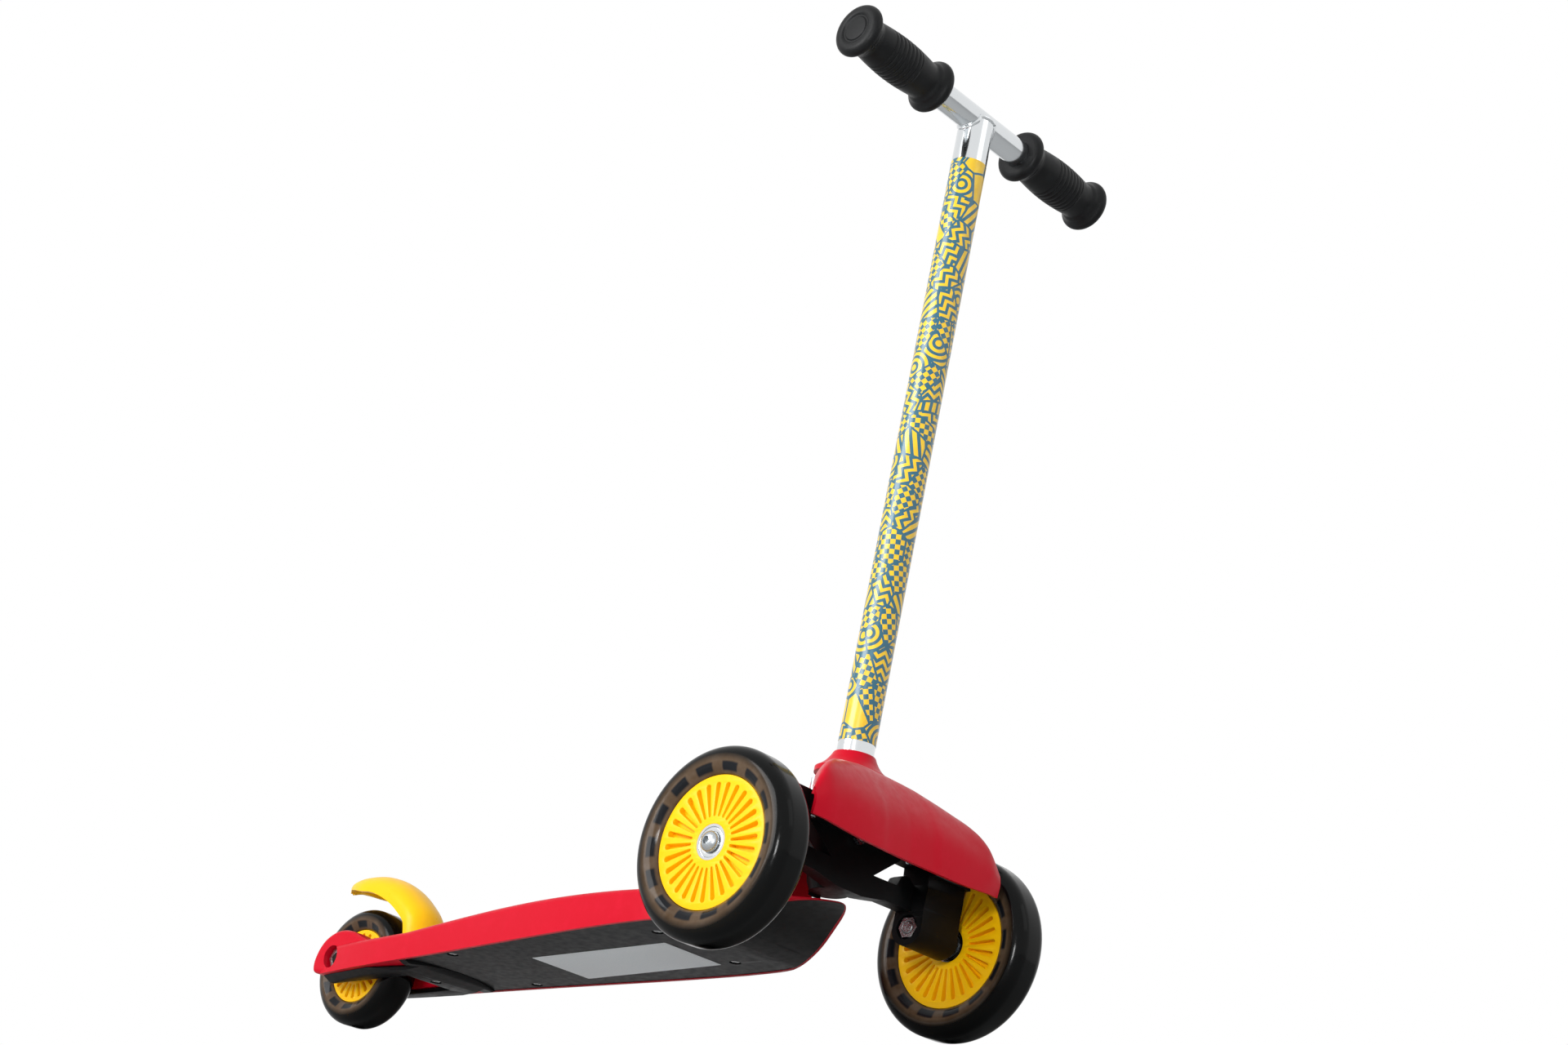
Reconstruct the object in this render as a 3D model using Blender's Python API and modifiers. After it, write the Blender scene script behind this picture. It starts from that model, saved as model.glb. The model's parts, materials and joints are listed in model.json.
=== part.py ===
"""Three-wheel kick scooter for a small child.

Two big wheels in front turn with the handlebar, one small wheel runs between the
arms of the deck behind. X points forward, Y to the left, Z up. The origin lies on
the ground, halfway between the front of the front tyres and the back of the rear tyre.
"""
import math

import bmesh
import bpy
from mathutils import Matrix, Vector

for leftover in list(bpy.context.scene.objects):
    bpy.data.objects.remove(leftover, do_unlink=True)

MM = 0.001
GAP = 0.3 * MM

# Wheels
FRONT_WHEEL_R = 60.0 * MM
REAR_WHEEL_R = 42.0 * MM
FRONT_HUB_R = 41.1 * MM
REAR_HUB_R = 26.2 * MM
TYRE_WIDTH = 28.8 * MM
TYRE_SHOULDER_R = 9.4 * MM
HUB_WIDTH = 20.4 * MM
FRONT_SLOTS = 28
REAR_SLOTS = 20
WHEELBASE = 443.0 * MM
TRACK = 228.8 * MM
WHEEL_STEPS = 32

# Bearings and axles
BEARING_OUTER_R = 11.0 * MM
BEARING_BORE_R = 4.3 * MM
BEARING_WIDTH = 7.0 * MM
BEARING_INSET = 0.2 * MM
AXLE_R = 4.0 * MM
AXLE_HEAD_R = 6.5 * MM
AXLE_HEAD_HEIGHT = 4.2 * MM
NUT_R = 7.4 * MM
NUT_HEIGHT = 5.4 * MM
NUT_POCKET = 6.2 * MM
SOCKET_R = 2.9 * MM
SPACER = 2.3 * MM
ROUND_STEPS = 12
COLUMN_STEPS = 20

# Steering
LEAN = math.radians(5.0)
STEER_BACK = 11.9 * MM
STEER_HEIGHT = 100.0 * MM
COLUMN_R = 12.0 * MM
TUBE_WALL = 1.5 * MM
COLUMN_LOW = -31.0 * MM
BAR_AT = 507.8 * MM
BAR_R = 9.5 * MM
BAR_HALF = 129.0 * MM
GRIP_OUT = 132.0 * MM
GRIP_IN = 46.7 * MM
GRIP_FLANGE_R = 18.6 * MM
GRIP_FLANGE = 9.0 * MM
GRIP_R = 13.4 * MM
GRIP_BULGE = 2.0 * MM
GRIP_GROOVES = 4

# Head bearing of the deck
HEAD_R = 24.0 * MM
HEAD_LOW = 12.8 * MM
HEAD_HIGH = 32.0 * MM
BUSH_R = 14.0 * MM
BUSH_FLANGE_R = 17.5 * MM
BUSH_FLANGE = 1.8 * MM

# Fork
TOWER_R = 19.0 * MM
TOWER_LOW = -37.0 * MM
FORK_BACK = -8.0 * MM
FORK_FRONT = 14.0 * MM
LEG_THICK = 41.0 * MM
LEG_R = 17.0 * MM
BEAM_INSET = 8.5 * MM
BEAM_TOP = 112.0 * MM
BEAM_MIDDLE = 107.5 * MM
BEAM_LOW = 98.5 * MM
STRUT_LOW = 62.5 * MM
STRUT_HIGH = 81.5 * MM
RIB = 3.0 * MM
RIBS = 5
CROSS_R = 3.0 * MM
CROSS_HEAD_R = 5.4 * MM
CROSS_HEAD = 3.4 * MM
CROSS_SINK = 3.6 * MM
CROSS_AT = 2.0 * MM

# Head cover
COVER_WALL = 2.4 * MM
COLLAR_R = 17.0 * MM
COLLAR_HIGH = 55.5 * MM
COLLAR_LOW = 38.0 * MM
COVER_TO_TYRE = 11.4 * MM
COVER_POST_INSET = 10.5 * MM
COVER_POST_X = 7.0 * MM
COVER_POST_R = 5.0 * MM
COVER_POST_TOP = 134.0 * MM
COVER_PILOT_TOP = 127.0 * MM
COVER_SCREW = 24.0 * MM

# Deck
DECK_PITCH = math.radians(1.19)
DECK_PIVOT_X = -250.0 * MM
DECK_PIVOT_Z = 34.6 * MM
SKIRT = 19.5 * MM
DECK_WALL = 2.6 * MM
DECK_TOP_WALL = 3.2 * MM
DECK_EDGE_R = 4.0 * MM
SLOT_HALF = 19.0 * MM
SLOT_CORNER_R = 1.2 * MM
WHEEL_TO_SLOT = 25.0 * MM
ARM_PAST_AXLE = 10.0 * MM
SLOT_TO_POCKET = 16.0 * MM
LUG_OUT = 35.2 * MM
LUG_HOLE_R = 8.2 * MM
LUG_HOLE_DEPTH = 10.0 * MM
PLATE = 2.8 * MM
PLATE_INSET = 0.4 * MM
BRACKET = 3.4 * MM
BRACKET_LAP = 18.0 * MM
POST_R = 4.5 * MM
SCREW_R = 1.9 * MM
SCREW_HEAD_R = 3.8 * MM
SCREW_HEAD = 1.4 * MM
SCREW_SINK = 0.3 * MM
SCREW_LENGTH = 10.0 * MM
GROOVE_PITCH = 18.0 * MM
GROOVE_WIDTH = 3.0 * MM
GROOVE_DEPTH = 0.8 * MM
GROOVE_FRONT = 96.0 * MM
GROOVE_MARGIN = 13.0 * MM

# Brake fender
FENDER_WALL = 2.6 * MM
FENDER_HALF = 17.5 * MM
FENDER_DROP = 16.0 * MM
HINGE_AHEAD = 60.0 * MM
HINGE_HEIGHT = 45.0 * MM
HINGE_R = 5.5 * MM
PIN_R = 2.7 * MM
PIN_HALF = 27.0 * MM
SPRING_WIRE_R = 0.7 * MM
SPRING_TURNS = 4
SPRING_GAP = 13.0 * MM
SPRING_REACH = 5.9 * MM

# Places that follow from the sizes above
REAR_AXLE_X = (REAR_WHEEL_R - FRONT_WHEEL_R - WHEELBASE) / 2
FRONT_AXLE_X = REAR_AXLE_X + WHEELBASE
WHEEL_Y = TRACK / 2
STEER_AT = Vector((FRONT_AXLE_X - STEER_BACK, 0, STEER_HEIGHT))
HUB_FACE = HUB_WIDTH / 2
BEARING_FACE = HUB_FACE - BEARING_INSET
SEAT_FLOOR = BEARING_FACE - BEARING_WIDTH - GAP
LEG_OUT = WHEEL_Y - BEARING_FACE - SPACER - 2 * GAP
LEG_IN = LEG_OUT - LEG_THICK
BEAM_OUT = LEG_OUT - BEAM_INSET
CROSS_SEAT = TOWER_R - CROSS_SINK
COVER_HALF = WHEEL_Y - TYRE_WIDTH / 2 - COVER_TO_TYRE
COVER_POST_Y = LEG_IN - COVER_POST_INSET
HINGE_AT = Vector((REAR_AXLE_X + HINGE_AHEAD, 0, HINGE_HEIGHT))

# The deck's own frame has the underside at height zero and X along the plank
DECK_PLACE = {"place": (FRONT_AXLE_X + DECK_PIVOT_X, 0, DECK_PIVOT_Z), "turn": (0, -DECK_PITCH, 0)}
DECK_FRAME = Matrix.Translation(DECK_PLACE["place"]) @ Matrix.Rotation(-DECK_PITCH, 4, "Y")
AXLE_IN_DECK = -WHEELBASE - DECK_PIVOT_X
SLOT_FRONT = AXLE_IN_DECK + REAR_WHEEL_R + WHEEL_TO_SLOT
ARM_END = AXLE_IN_DECK - ARM_PAST_AXLE
POCKET_BACK = SLOT_FRONT + SLOT_TO_POCKET
BRACKET_FRONT = POCKET_BACK + BRACKET_LAP
BRACKET_LOW = -GAP - BRACKET
SCREW_RECESS = SCREW_SINK + SCREW_HEAD + GAP
SCREW_SPOTS = [(POCKET_BACK + 52 * MM, 40 * MM, PLATE_INSET), (POCKET_BACK + 52 * MM, -40 * MM, PLATE_INSET),
               (129.5 * MM, 37 * MM, PLATE_INSET), (129.5 * MM, -37 * MM, PLATE_INSET),
               (SLOT_FRONT + 8.5 * MM, 0, BRACKET_LOW)]

# Longer than anything that a cutter goes through
FAR = 300.0 * MM

parts = bpy.data.collections.new("kick_scooter")
cutters = bpy.data.collections.new("cutters")
bpy.context.scene.collection.children.link(parts)
bpy.context.scene.collection.children.link(cutters)


# Materials
def finish(name, colour, roughness, metallic=0.0):
    """A plain finish: colour as linear red, green and blue."""
    made = bpy.data.materials.new(name)
    made.use_nodes = True
    shader = made.node_tree.nodes["Principled BSDF"]
    shader.inputs["Base Color"].default_value = (*colour, 1)
    shader.inputs["Roughness"].default_value = roughness
    shader.inputs["Metallic"].default_value = metallic
    return made


RED = finish("red_plastic", (0.70, 0.02, 0.04), 0.38)
YELLOW = finish("yellow_plastic", (0.95, 0.52, 0.02), 0.35)
BLACK = finish("black_plastic", (0.018, 0.019, 0.020), 0.45)
RUBBER = finish("grip_rubber", (0.012, 0.012, 0.013), 0.7)
TYRE = finish("smoky_tyre", (0.03, 0.028, 0.026), 0.2)
CHROME = finish("polished_tube", (0.78, 0.79, 0.80), 0.16, 1.0)
STEEL = finish("zinc_steel", (0.55, 0.56, 0.57), 0.32, 1.0)
NYLON = finish("white_nylon", (0.75, 0.74, 0.70), 0.5)


# Helpers
def add(name, data, material, place=(0, 0, 0), turn=(0, 0, 0), group=parts):
    """Link an object, place it and give it its material."""
    made = bpy.data.objects.new(name, data)
    group.objects.link(made)
    made.location = place
    made.rotation_euler = turn
    if material is not None:
        data.materials.append(material)
    if group is cutters:
        made.hide_render = True
        made.display_type = "WIRE"
    return made


def mesh_from(name, bm):
    """Turn a bmesh into mesh data with smooth faces and sharp corners."""
    bmesh.ops.recalc_face_normals(bm, faces=bm.faces)
    data = bpy.data.meshes.new(name)
    bm.to_mesh(data)
    bm.free()
    data.shade_smooth()
    data.set_sharp_from_angle(angle=math.radians(35))
    return data


def turned(name, profile, material, steps=ROUND_STEPS, closed=True, **where):
    """A turned piece: points of radius and height, down the outer side, about local Z."""
    bm = bmesh.new()
    points = [bm.verts.new((radius, 0, height)) for radius, height in profile]
    for first, second in zip(points, points[1:]):
        bm.edges.new((first, second))
    if closed:
        bm.edges.new((points[-1], points[0]))
    data = bpy.data.meshes.new(name)
    bm.to_mesh(data)
    bm.free()
    made = add(name, data, material, **where)
    screw = made.modifiers.new("turn", "SCREW")
    screw.axis = "Z"
    screw.steps = steps
    screw.render_steps = steps
    screw.use_merge_vertices = True
    screw.merge_threshold = 0.00001
    screw.use_smooth_shade = True
    return made


def ring(name, inner, outer, low, high, material, steps=ROUND_STEPS, **where):
    """A plain ring or tube about local Z."""
    profile = [(outer, high), (outer, low), (inner, low), (inner, high)]
    return turned(name, profile, material, steps, **where)


def rod(name, radius, low, high, material=None, steps=ROUND_STEPS, **where):
    """A plain round bar about local Z, also used as a drill."""
    profile = [(0, high), (radius, high), (radius, low), (0, low)]
    return turned(name, profile, material, steps, closed=False, **where)


def flat(name, outlines, low, high, material=None, edge=0.0, **where):
    """A plate from closed outlines, the first outside and the rest holes, as a mesh."""
    curve = bpy.data.curves.new(name + "_outline", "CURVE")
    curve.dimensions = "2D"
    curve.fill_mode = "BOTH"
    curve.extrude = (high - low) / 2 - edge
    curve.bevel_depth = edge
    curve.bevel_resolution = 1
    curve.offset = -edge
    for outline in outlines:
        spline = curve.splines.new("POLY")
        spline.points.add(len(outline) - 1)
        for point, (x, y) in zip(spline.points, outline):
            point.co = (x, y, 0, 1)
        spline.use_cyclic_u = True
    return from_curve(name, curve, (low + high) / 2, material, **where)


def from_curve(name, curve, lift, material, **where):
    """Replace a curve by a closed mesh, so that it can be cut and joined."""
    outline = bpy.data.objects.new(name + "_curve", curve)
    cutters.objects.link(outline)
    bpy.context.view_layer.update()
    graph = bpy.context.evaluated_depsgraph_get()
    data = bpy.data.meshes.new_from_object(outline.evaluated_get(graph))
    bpy.data.objects.remove(outline)
    bm = bmesh.new()
    bm.from_mesh(data)
    bmesh.ops.remove_doubles(bm, verts=bm.verts, dist=0.00001)
    bmesh.ops.translate(bm, verts=bm.verts, vec=(0, 0, lift))
    return add(name, mesh_from(name, bm), material, **where)


def box(name, low, high, material=None, **where):
    """A block between two corners."""
    bm = bmesh.new()
    bmesh.ops.create_cube(bm, size=1)
    size = [b - a for a, b in zip(low, high)]
    middle = [(a + b) / 2 for a, b in zip(low, high)]
    bmesh.ops.scale(bm, verts=bm.verts, vec=size)
    bmesh.ops.translate(bm, verts=bm.verts, vec=middle)
    return add(name, mesh_from(name, bm), material, **where)


def loft(name, sections, material=None, closed_rows=True, **where):
    """A solid or an open sheet through sections that have the same number of points."""
    bm = bmesh.new()
    rows = [[bm.verts.new(point) for point in section] for section in sections]
    for row, following in zip(rows, rows[1:]):
        count = len(row) if closed_rows else len(row) - 1
        for i in range(count):
            j = (i + 1) % len(row)
            bm.faces.new((row[i], row[j], following[j], following[i]))
    if closed_rows:
        bm.faces.new(rows[0])
        bm.faces.new(rows[-1])
    return add(name, mesh_from(name, bm), material, **where)


# The exact solver leaves open edges on these, which take many cuts
MANY_CUTS = ("deck", "front_fork", "brake_fender")


def boolean(target, tool, operation):
    """Join a tool to a piece, or cut it out, and keep the tool among the cutters."""
    if tool.name in parts.objects:
        parts.objects.unlink(tool)
        cutters.objects.link(tool)
    tool.hide_render = True
    tool.display_type = "WIRE"
    step = target.modifiers.new(tool.name, "BOOLEAN")
    step.operation = operation
    step.solver = "MANIFOLD" if target.name in MANY_CUTS else "EXACT"
    step.object = tool


def cut(target, *tools):
    """Cut tools out of a piece."""
    for tool in tools:
        boolean(target, tool, "DIFFERENCE")


def join(target, *tools):
    """Join tools to a piece."""
    for tool in tools:
        boolean(target, tool, "UNION")


def tidy_faces(*pieces):
    """Merge the flat facets that many cuts leave behind."""
    for piece in pieces:
        step = piece.modifiers.new("merge_flat_faces", "DECIMATE")
        step.decimate_type = "DISSOLVE"
        step.angle_limit = math.radians(0.05)


def circle(radius, steps, x=0.0, y=0.0, start=0.0):
    """Points round a circle."""
    turns = [start + math.tau * i / steps for i in range(steps)]
    return [(x + radius * math.cos(t), y + radius * math.sin(t)) for t in turns]


def arc(x, y, radius, start, end, steps):
    """Points along an arc, angles in degrees."""
    angles = [math.radians(start + (end - start) * i / steps) for i in range(steps + 1)]
    return [(x + radius * math.cos(t), y + radius * math.sin(t)) for t in angles]


def smooth(points, steps):
    """A smooth path through points, by Catmull and Rom's rule."""
    points = [Vector(point) for point in points]
    path = []
    for i in range(len(points) - 1):
        before = points[max(i - 1, 0)]
        start, end = points[i], points[i + 1]
        after = points[min(i + 2, len(points) - 1)]
        for k in range(steps):
            t = k / steps
            path.append(0.5 * (2 * start + (end - before) * t
                               + (2 * before - 5 * start + 4 * end - after) * t ** 2
                               + (3 * start - before - 3 * end + after) * t ** 3))
    return [tuple(point) for point in path + [points[-1]]]


def mirrored(half):
    """Close a half outline, listed from the middle line to the middle line, across Y = 0."""
    return half + [(x, -y) for x, y in reversed(half) if abs(y) > GAP]


def in_mm(points):
    """Points written in millimetres."""
    return [tuple(value * MM for value in point) for point in points]


steering = bpy.data.objects.new("steering_axis", None)
parts.objects.link(steering)
steering.matrix_world = Matrix.Translation(STEER_AT) @ Matrix.Rotation(LEAN, 4, "Y")


def steered(*pieces, local=False):
    """Let pieces turn with the handlebar; local ones are placed along the column."""
    for piece in pieces:
        piece.parent = steering
        if not local:
            piece.matrix_parent_inverse = steering.matrix_world.inverted()


# Wheels
SIDE_TURN = {1: (-math.pi / 2, 0, 0), -1: (math.pi / 2, 0, 0)}
HINGE_PLACE = {"place": HINGE_AT, "turn": SIDE_TURN[1]}


def tyre(name, wheel_r, hub_r, **where):
    """A solid cast tyre with a round shoulder on each side."""
    half = TYRE_WIDTH / 2
    shoulder = wheel_r - TYRE_SHOULDER_R
    tread = half - TYRE_SHOULDER_R
    side = [(hub_r + GAP, HUB_FACE - GAP), (hub_r + 2.6 * MM, half - 2.0 * MM), (shoulder, half)]
    side += arc(shoulder, tread, TYRE_SHOULDER_R, 90, 0, 2)[1:]
    profile = side + [(radius, -height) for radius, height in reversed(side)]
    return turned(name, profile, TYRE, WHEEL_STEPS, **where)


def hub(name, hub_r, slots, slot_in, slot_out, **where):
    """A moulded wheel core with tapered slots, a bearing seat on each face."""
    outlines = [circle(hub_r, WHEEL_STEPS)]
    pitch = math.tau / slots
    for i in range(slots):
        along = Vector((math.cos(i * pitch), math.sin(i * pitch)))
        across = Vector((-along.y, along.x))
        inner_half = 0.21 * slot_in * pitch
        outer_half = 0.23 * slot_out * pitch
        corners = [(slot_in, -inner_half), (slot_out, -outer_half), (slot_out, outer_half),
                   (slot_in, inner_half)]
        outlines.append([tuple(along * r + across * w) for r, w in corners])
    outlines.append(circle(BEARING_OUTER_R - 1.7 * MM, ROUND_STEPS))
    core = flat(name, outlines, -HUB_FACE, HUB_FACE, YELLOW, **where)
    seat_r = BEARING_OUTER_R + GAP
    for side, low, high in (("a", SEAT_FLOOR, HUB_FACE + MM), ("b", -HUB_FACE - MM, -SEAT_FLOOR)):
        cut(core, rod(name + "_seat_" + side, seat_r, low, high, group=cutters, **where))
    tidy_faces(core)
    return core


def bearing(name, face, place, turn):
    """A shielded ball bearing whose shield faces out of one side of the hub, +1 or -1."""
    inner, outer = BEARING_BORE_R, BEARING_OUTER_R
    high, low = BEARING_FACE, BEARING_FACE - BEARING_WIDTH
    shield = high - 0.4 * MM
    profile = [(outer, high), (outer, low), (inner, low), (inner, high),
               (inner + 2.0 * MM, shield), (outer - 1.6 * MM, shield)]
    return turned(name, profile, STEEL, place=place, turn=(face * turn[0], 0, 0))


def wheel(side, place, turn, wheel_r, hub_r, slots, slot_in):
    """Tyre, hub, bearings and the sleeve between the bearings."""
    where = {"place": place, "turn": turn}
    sleeve_half = BEARING_FACE - BEARING_WIDTH - GAP
    return [
        tyre(side + "_tyre", wheel_r, hub_r, **where),
        hub(side + "_hub", hub_r, slots, slot_in, 0.865 * hub_r, **where),
        bearing(side + "_outer_bearing", 1, **where),
        bearing(side + "_inner_bearing", -1, **where),
        ring(side + "_bearing_sleeve", BEARING_BORE_R, BEARING_BORE_R + 1.8 * MM,
             -sleeve_half, sleeve_half, STEEL, **where),
    ]


def axle_bolt(name, head_seat, tip, **where):
    """A bolt with a domed head and a hexagon socket; it points down local Z."""
    rim = head_seat + 0.5 * MM
    top = head_seat + AXLE_HEAD_HEIGHT
    profile = [(0, top), (0.55 * AXLE_HEAD_R, top), (0.9 * AXLE_HEAD_R, top - 1.5 * MM),
               (AXLE_HEAD_R, rim), (AXLE_HEAD_R, head_seat),
               (AXLE_R, head_seat), (AXLE_R, tip), (0, tip)]
    bolt = turned(name, profile, STEEL, closed=False, **where)
    cut(bolt, rod(name + "_socket", SOCKET_R, top - AXLE_HEAD_HEIGHT / 2, top + MM, None, 6,
                  group=cutters, **where))
    return bolt


def hex_nut(name, low, high, **where):
    """A hexagon nut about local Z."""
    outlines = [circle(NUT_R, 6), circle(AXLE_R + GAP, ROUND_STEPS)]
    return flat(name, outlines, low, high, STEEL, **where)


def front_wheel(side, name):
    """One front wheel with its axle bolt, nut and spacer, side +1 left or -1 right."""
    where = {"place": (FRONT_AXLE_X, side * WHEEL_Y, FRONT_WHEEL_R), "turn": SIDE_TURN[side]}
    made = wheel(name, where["place"], where["turn"], FRONT_WHEEL_R, FRONT_HUB_R, FRONT_SLOTS,
                 0.40 * FRONT_HUB_R)
    leg_face = LEG_OUT - WHEEL_Y
    nut_high = LEG_IN - WHEEL_Y + NUT_POCKET
    tip = nut_high - NUT_HEIGHT - 0.5 * MM
    made.append(axle_bolt(name + "_axle_bolt", BEARING_FACE + GAP, tip, **where))
    made.append(hex_nut(name + "_axle_nut", nut_high - NUT_HEIGHT, nut_high, **where))
    made.append(ring(name + "_wheel_spacer", BEARING_BORE_R, 7.5 * MM,
                     leg_face + GAP, -BEARING_FACE - GAP, STEEL, **where))
    steered(*made)


front_wheel(1, "left")
front_wheel(-1, "right")

REAR_PLACE = {"place": (REAR_AXLE_X, 0, REAR_WHEEL_R), "turn": SIDE_TURN[1]}
LUG_SEAT = LUG_OUT - LUG_HOLE_DEPTH
wheel("rear", REAR_PLACE["place"], REAR_PLACE["turn"], REAR_WHEEL_R, REAR_HUB_R, REAR_SLOTS,
      0.54 * REAR_HUB_R)
axle_bolt("rear_axle_bolt", LUG_SEAT + GAP, -LUG_SEAT - NUT_HEIGHT - MM, **REAR_PLACE)
hex_nut("rear_axle_nut", -LUG_SEAT - GAP - NUT_HEIGHT, -LUG_SEAT - GAP, **REAR_PLACE)
for rear_side, side_name in ((1, "left"), (-1, "right")):
    ring("rear_" + side_name + "_spacer", BEARING_BORE_R, 6.5 * MM, BEARING_FACE + GAP,
         SLOT_HALF - GAP, STEEL, place=REAR_PLACE["place"], turn=SIDE_TURN[rear_side])


# Handlebar
def handlebar():
    """The column tube, its crossbar and the two grips, along the leaning axis."""
    inner = COLUMN_R - TUBE_WALL
    column_top = BAR_AT - 2.0 * MM
    column = ring("steering_column", inner, COLUMN_R, COLUMN_LOW, column_top, CHROME, COLUMN_STEPS)
    bar_turn = (-math.pi / 2, 0, 0)
    bar_place = (0, 0, BAR_AT)
    bar = ring("crossbar", BAR_R - TUBE_WALL, BAR_R, -BAR_HALF, BAR_HALF, CHROME, 20,
               place=bar_place, turn=bar_turn)
    saddle = rod("column_saddle", BAR_R + GAP, -2 * COLUMN_R, 2 * COLUMN_R, steps=20,
                 place=bar_place, turn=bar_turn, group=cutters)
    cut(column, saddle)
    pieces = [column, bar, saddle]
    for side, name in ((1, "left_grip"), (-1, "right_grip")):
        pieces.append(grip(name, bar_place, SIDE_TURN[side]))
    steered(*pieces, local=True)
    return column


def grip(name, place, turn):
    """A rubber grip: a bulging barrel with fine grooves between two mushroom flanges."""
    flange_r, thick = GRIP_FLANGE_R, GRIP_FLANGE
    outer_low, inner_high = GRIP_OUT - thick, GRIP_IN + thick
    step_r = 16.4 * MM
    step = 4.0 * MM
    profile = [(0, GRIP_OUT), (8.6 * MM, GRIP_OUT), (9.2 * MM, GRIP_OUT - 0.9 * MM),
               (10.2 * MM, GRIP_OUT - 0.9 * MM), (10.8 * MM, GRIP_OUT),
               (flange_r - 3.4 * MM, GRIP_OUT), (flange_r - 0.9 * MM, GRIP_OUT - 1.6 * MM),
               (flange_r, GRIP_OUT - 4.0 * MM), (flange_r - 0.9 * MM, outer_low + 1.6 * MM),
               (step_r, outer_low), (step_r - 0.6 * MM, outer_low - step * 0.6),
               (GRIP_R, outer_low - step)]
    barrel_high, barrel_low = outer_low - step, inner_high + step
    length = barrel_high - barrel_low
    groove_pitch = 0.5 * length / GRIP_GROOVES
    for i in range(GRIP_GROOVES):
        top = barrel_high - 3.0 * MM - i * groove_pitch
        for drop, depth in ((0, 0), (0.7 * MM, 0.8 * MM), (1.4 * MM, 0)):
            along = (barrel_high - top + drop) / length
            bulge = GRIP_BULGE * math.sin(math.pi * along)
            profile.append((GRIP_R + bulge - depth, top - drop))
    for along in (0.66, 0.84):
        bulge = GRIP_BULGE * math.sin(math.pi * along)
        profile.append((GRIP_R + bulge, barrel_high - along * length))
    profile += [(GRIP_R, barrel_low), (step_r - 0.6 * MM, inner_high + step * 0.6),
                (step_r, inner_high), (flange_r - 0.9 * MM, inner_high - 1.6 * MM),
                (flange_r, GRIP_IN + 4.0 * MM), (flange_r - 0.9 * MM, GRIP_IN + 1.6 * MM),
                (flange_r - 3.4 * MM, GRIP_IN), (BAR_R + GAP, GRIP_IN),
                (BAR_R + GAP, BAR_HALF + GAP), (0, BAR_HALF + GAP)]
    return turned(name, profile, RUBBER, 14, closed=False, place=place, turn=turn)


steering_column = handlebar()


# Head bushes, in the ring at the top of the deck's neck
def head_bush(name, flange_low, flange_high, barrel_low, barrel_high):
    """A flanged nylon bush between the column and the head ring."""
    bore = COLUMN_R + GAP
    if flange_high > barrel_high:
        profile = [(BUSH_FLANGE_R, flange_high), (BUSH_FLANGE_R, flange_low),
                   (BUSH_R, flange_low), (BUSH_R, barrel_low), (bore, barrel_low),
                   (bore, flange_high)]
    else:
        profile = [(BUSH_R, barrel_high), (BUSH_R, flange_high), (BUSH_FLANGE_R, flange_high),
                   (BUSH_FLANGE_R, flange_low), (bore, flange_low), (bore, barrel_high)]
    return turned(name, profile, NYLON, COLUMN_STEPS, place=STEER_AT, turn=(0, LEAN, 0))


HEAD_MIDDLE = (HEAD_LOW + HEAD_HIGH) / 2
head_bush("upper_head_bush", HEAD_HIGH + GAP, HEAD_HIGH + GAP + BUSH_FLANGE,
          HEAD_MIDDLE + GAP, HEAD_HIGH + GAP)
head_bush("lower_head_bush", HEAD_LOW - GAP - BUSH_FLANGE, HEAD_LOW - GAP,
          HEAD_LOW - GAP, HEAD_MIDDLE - GAP)


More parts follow.
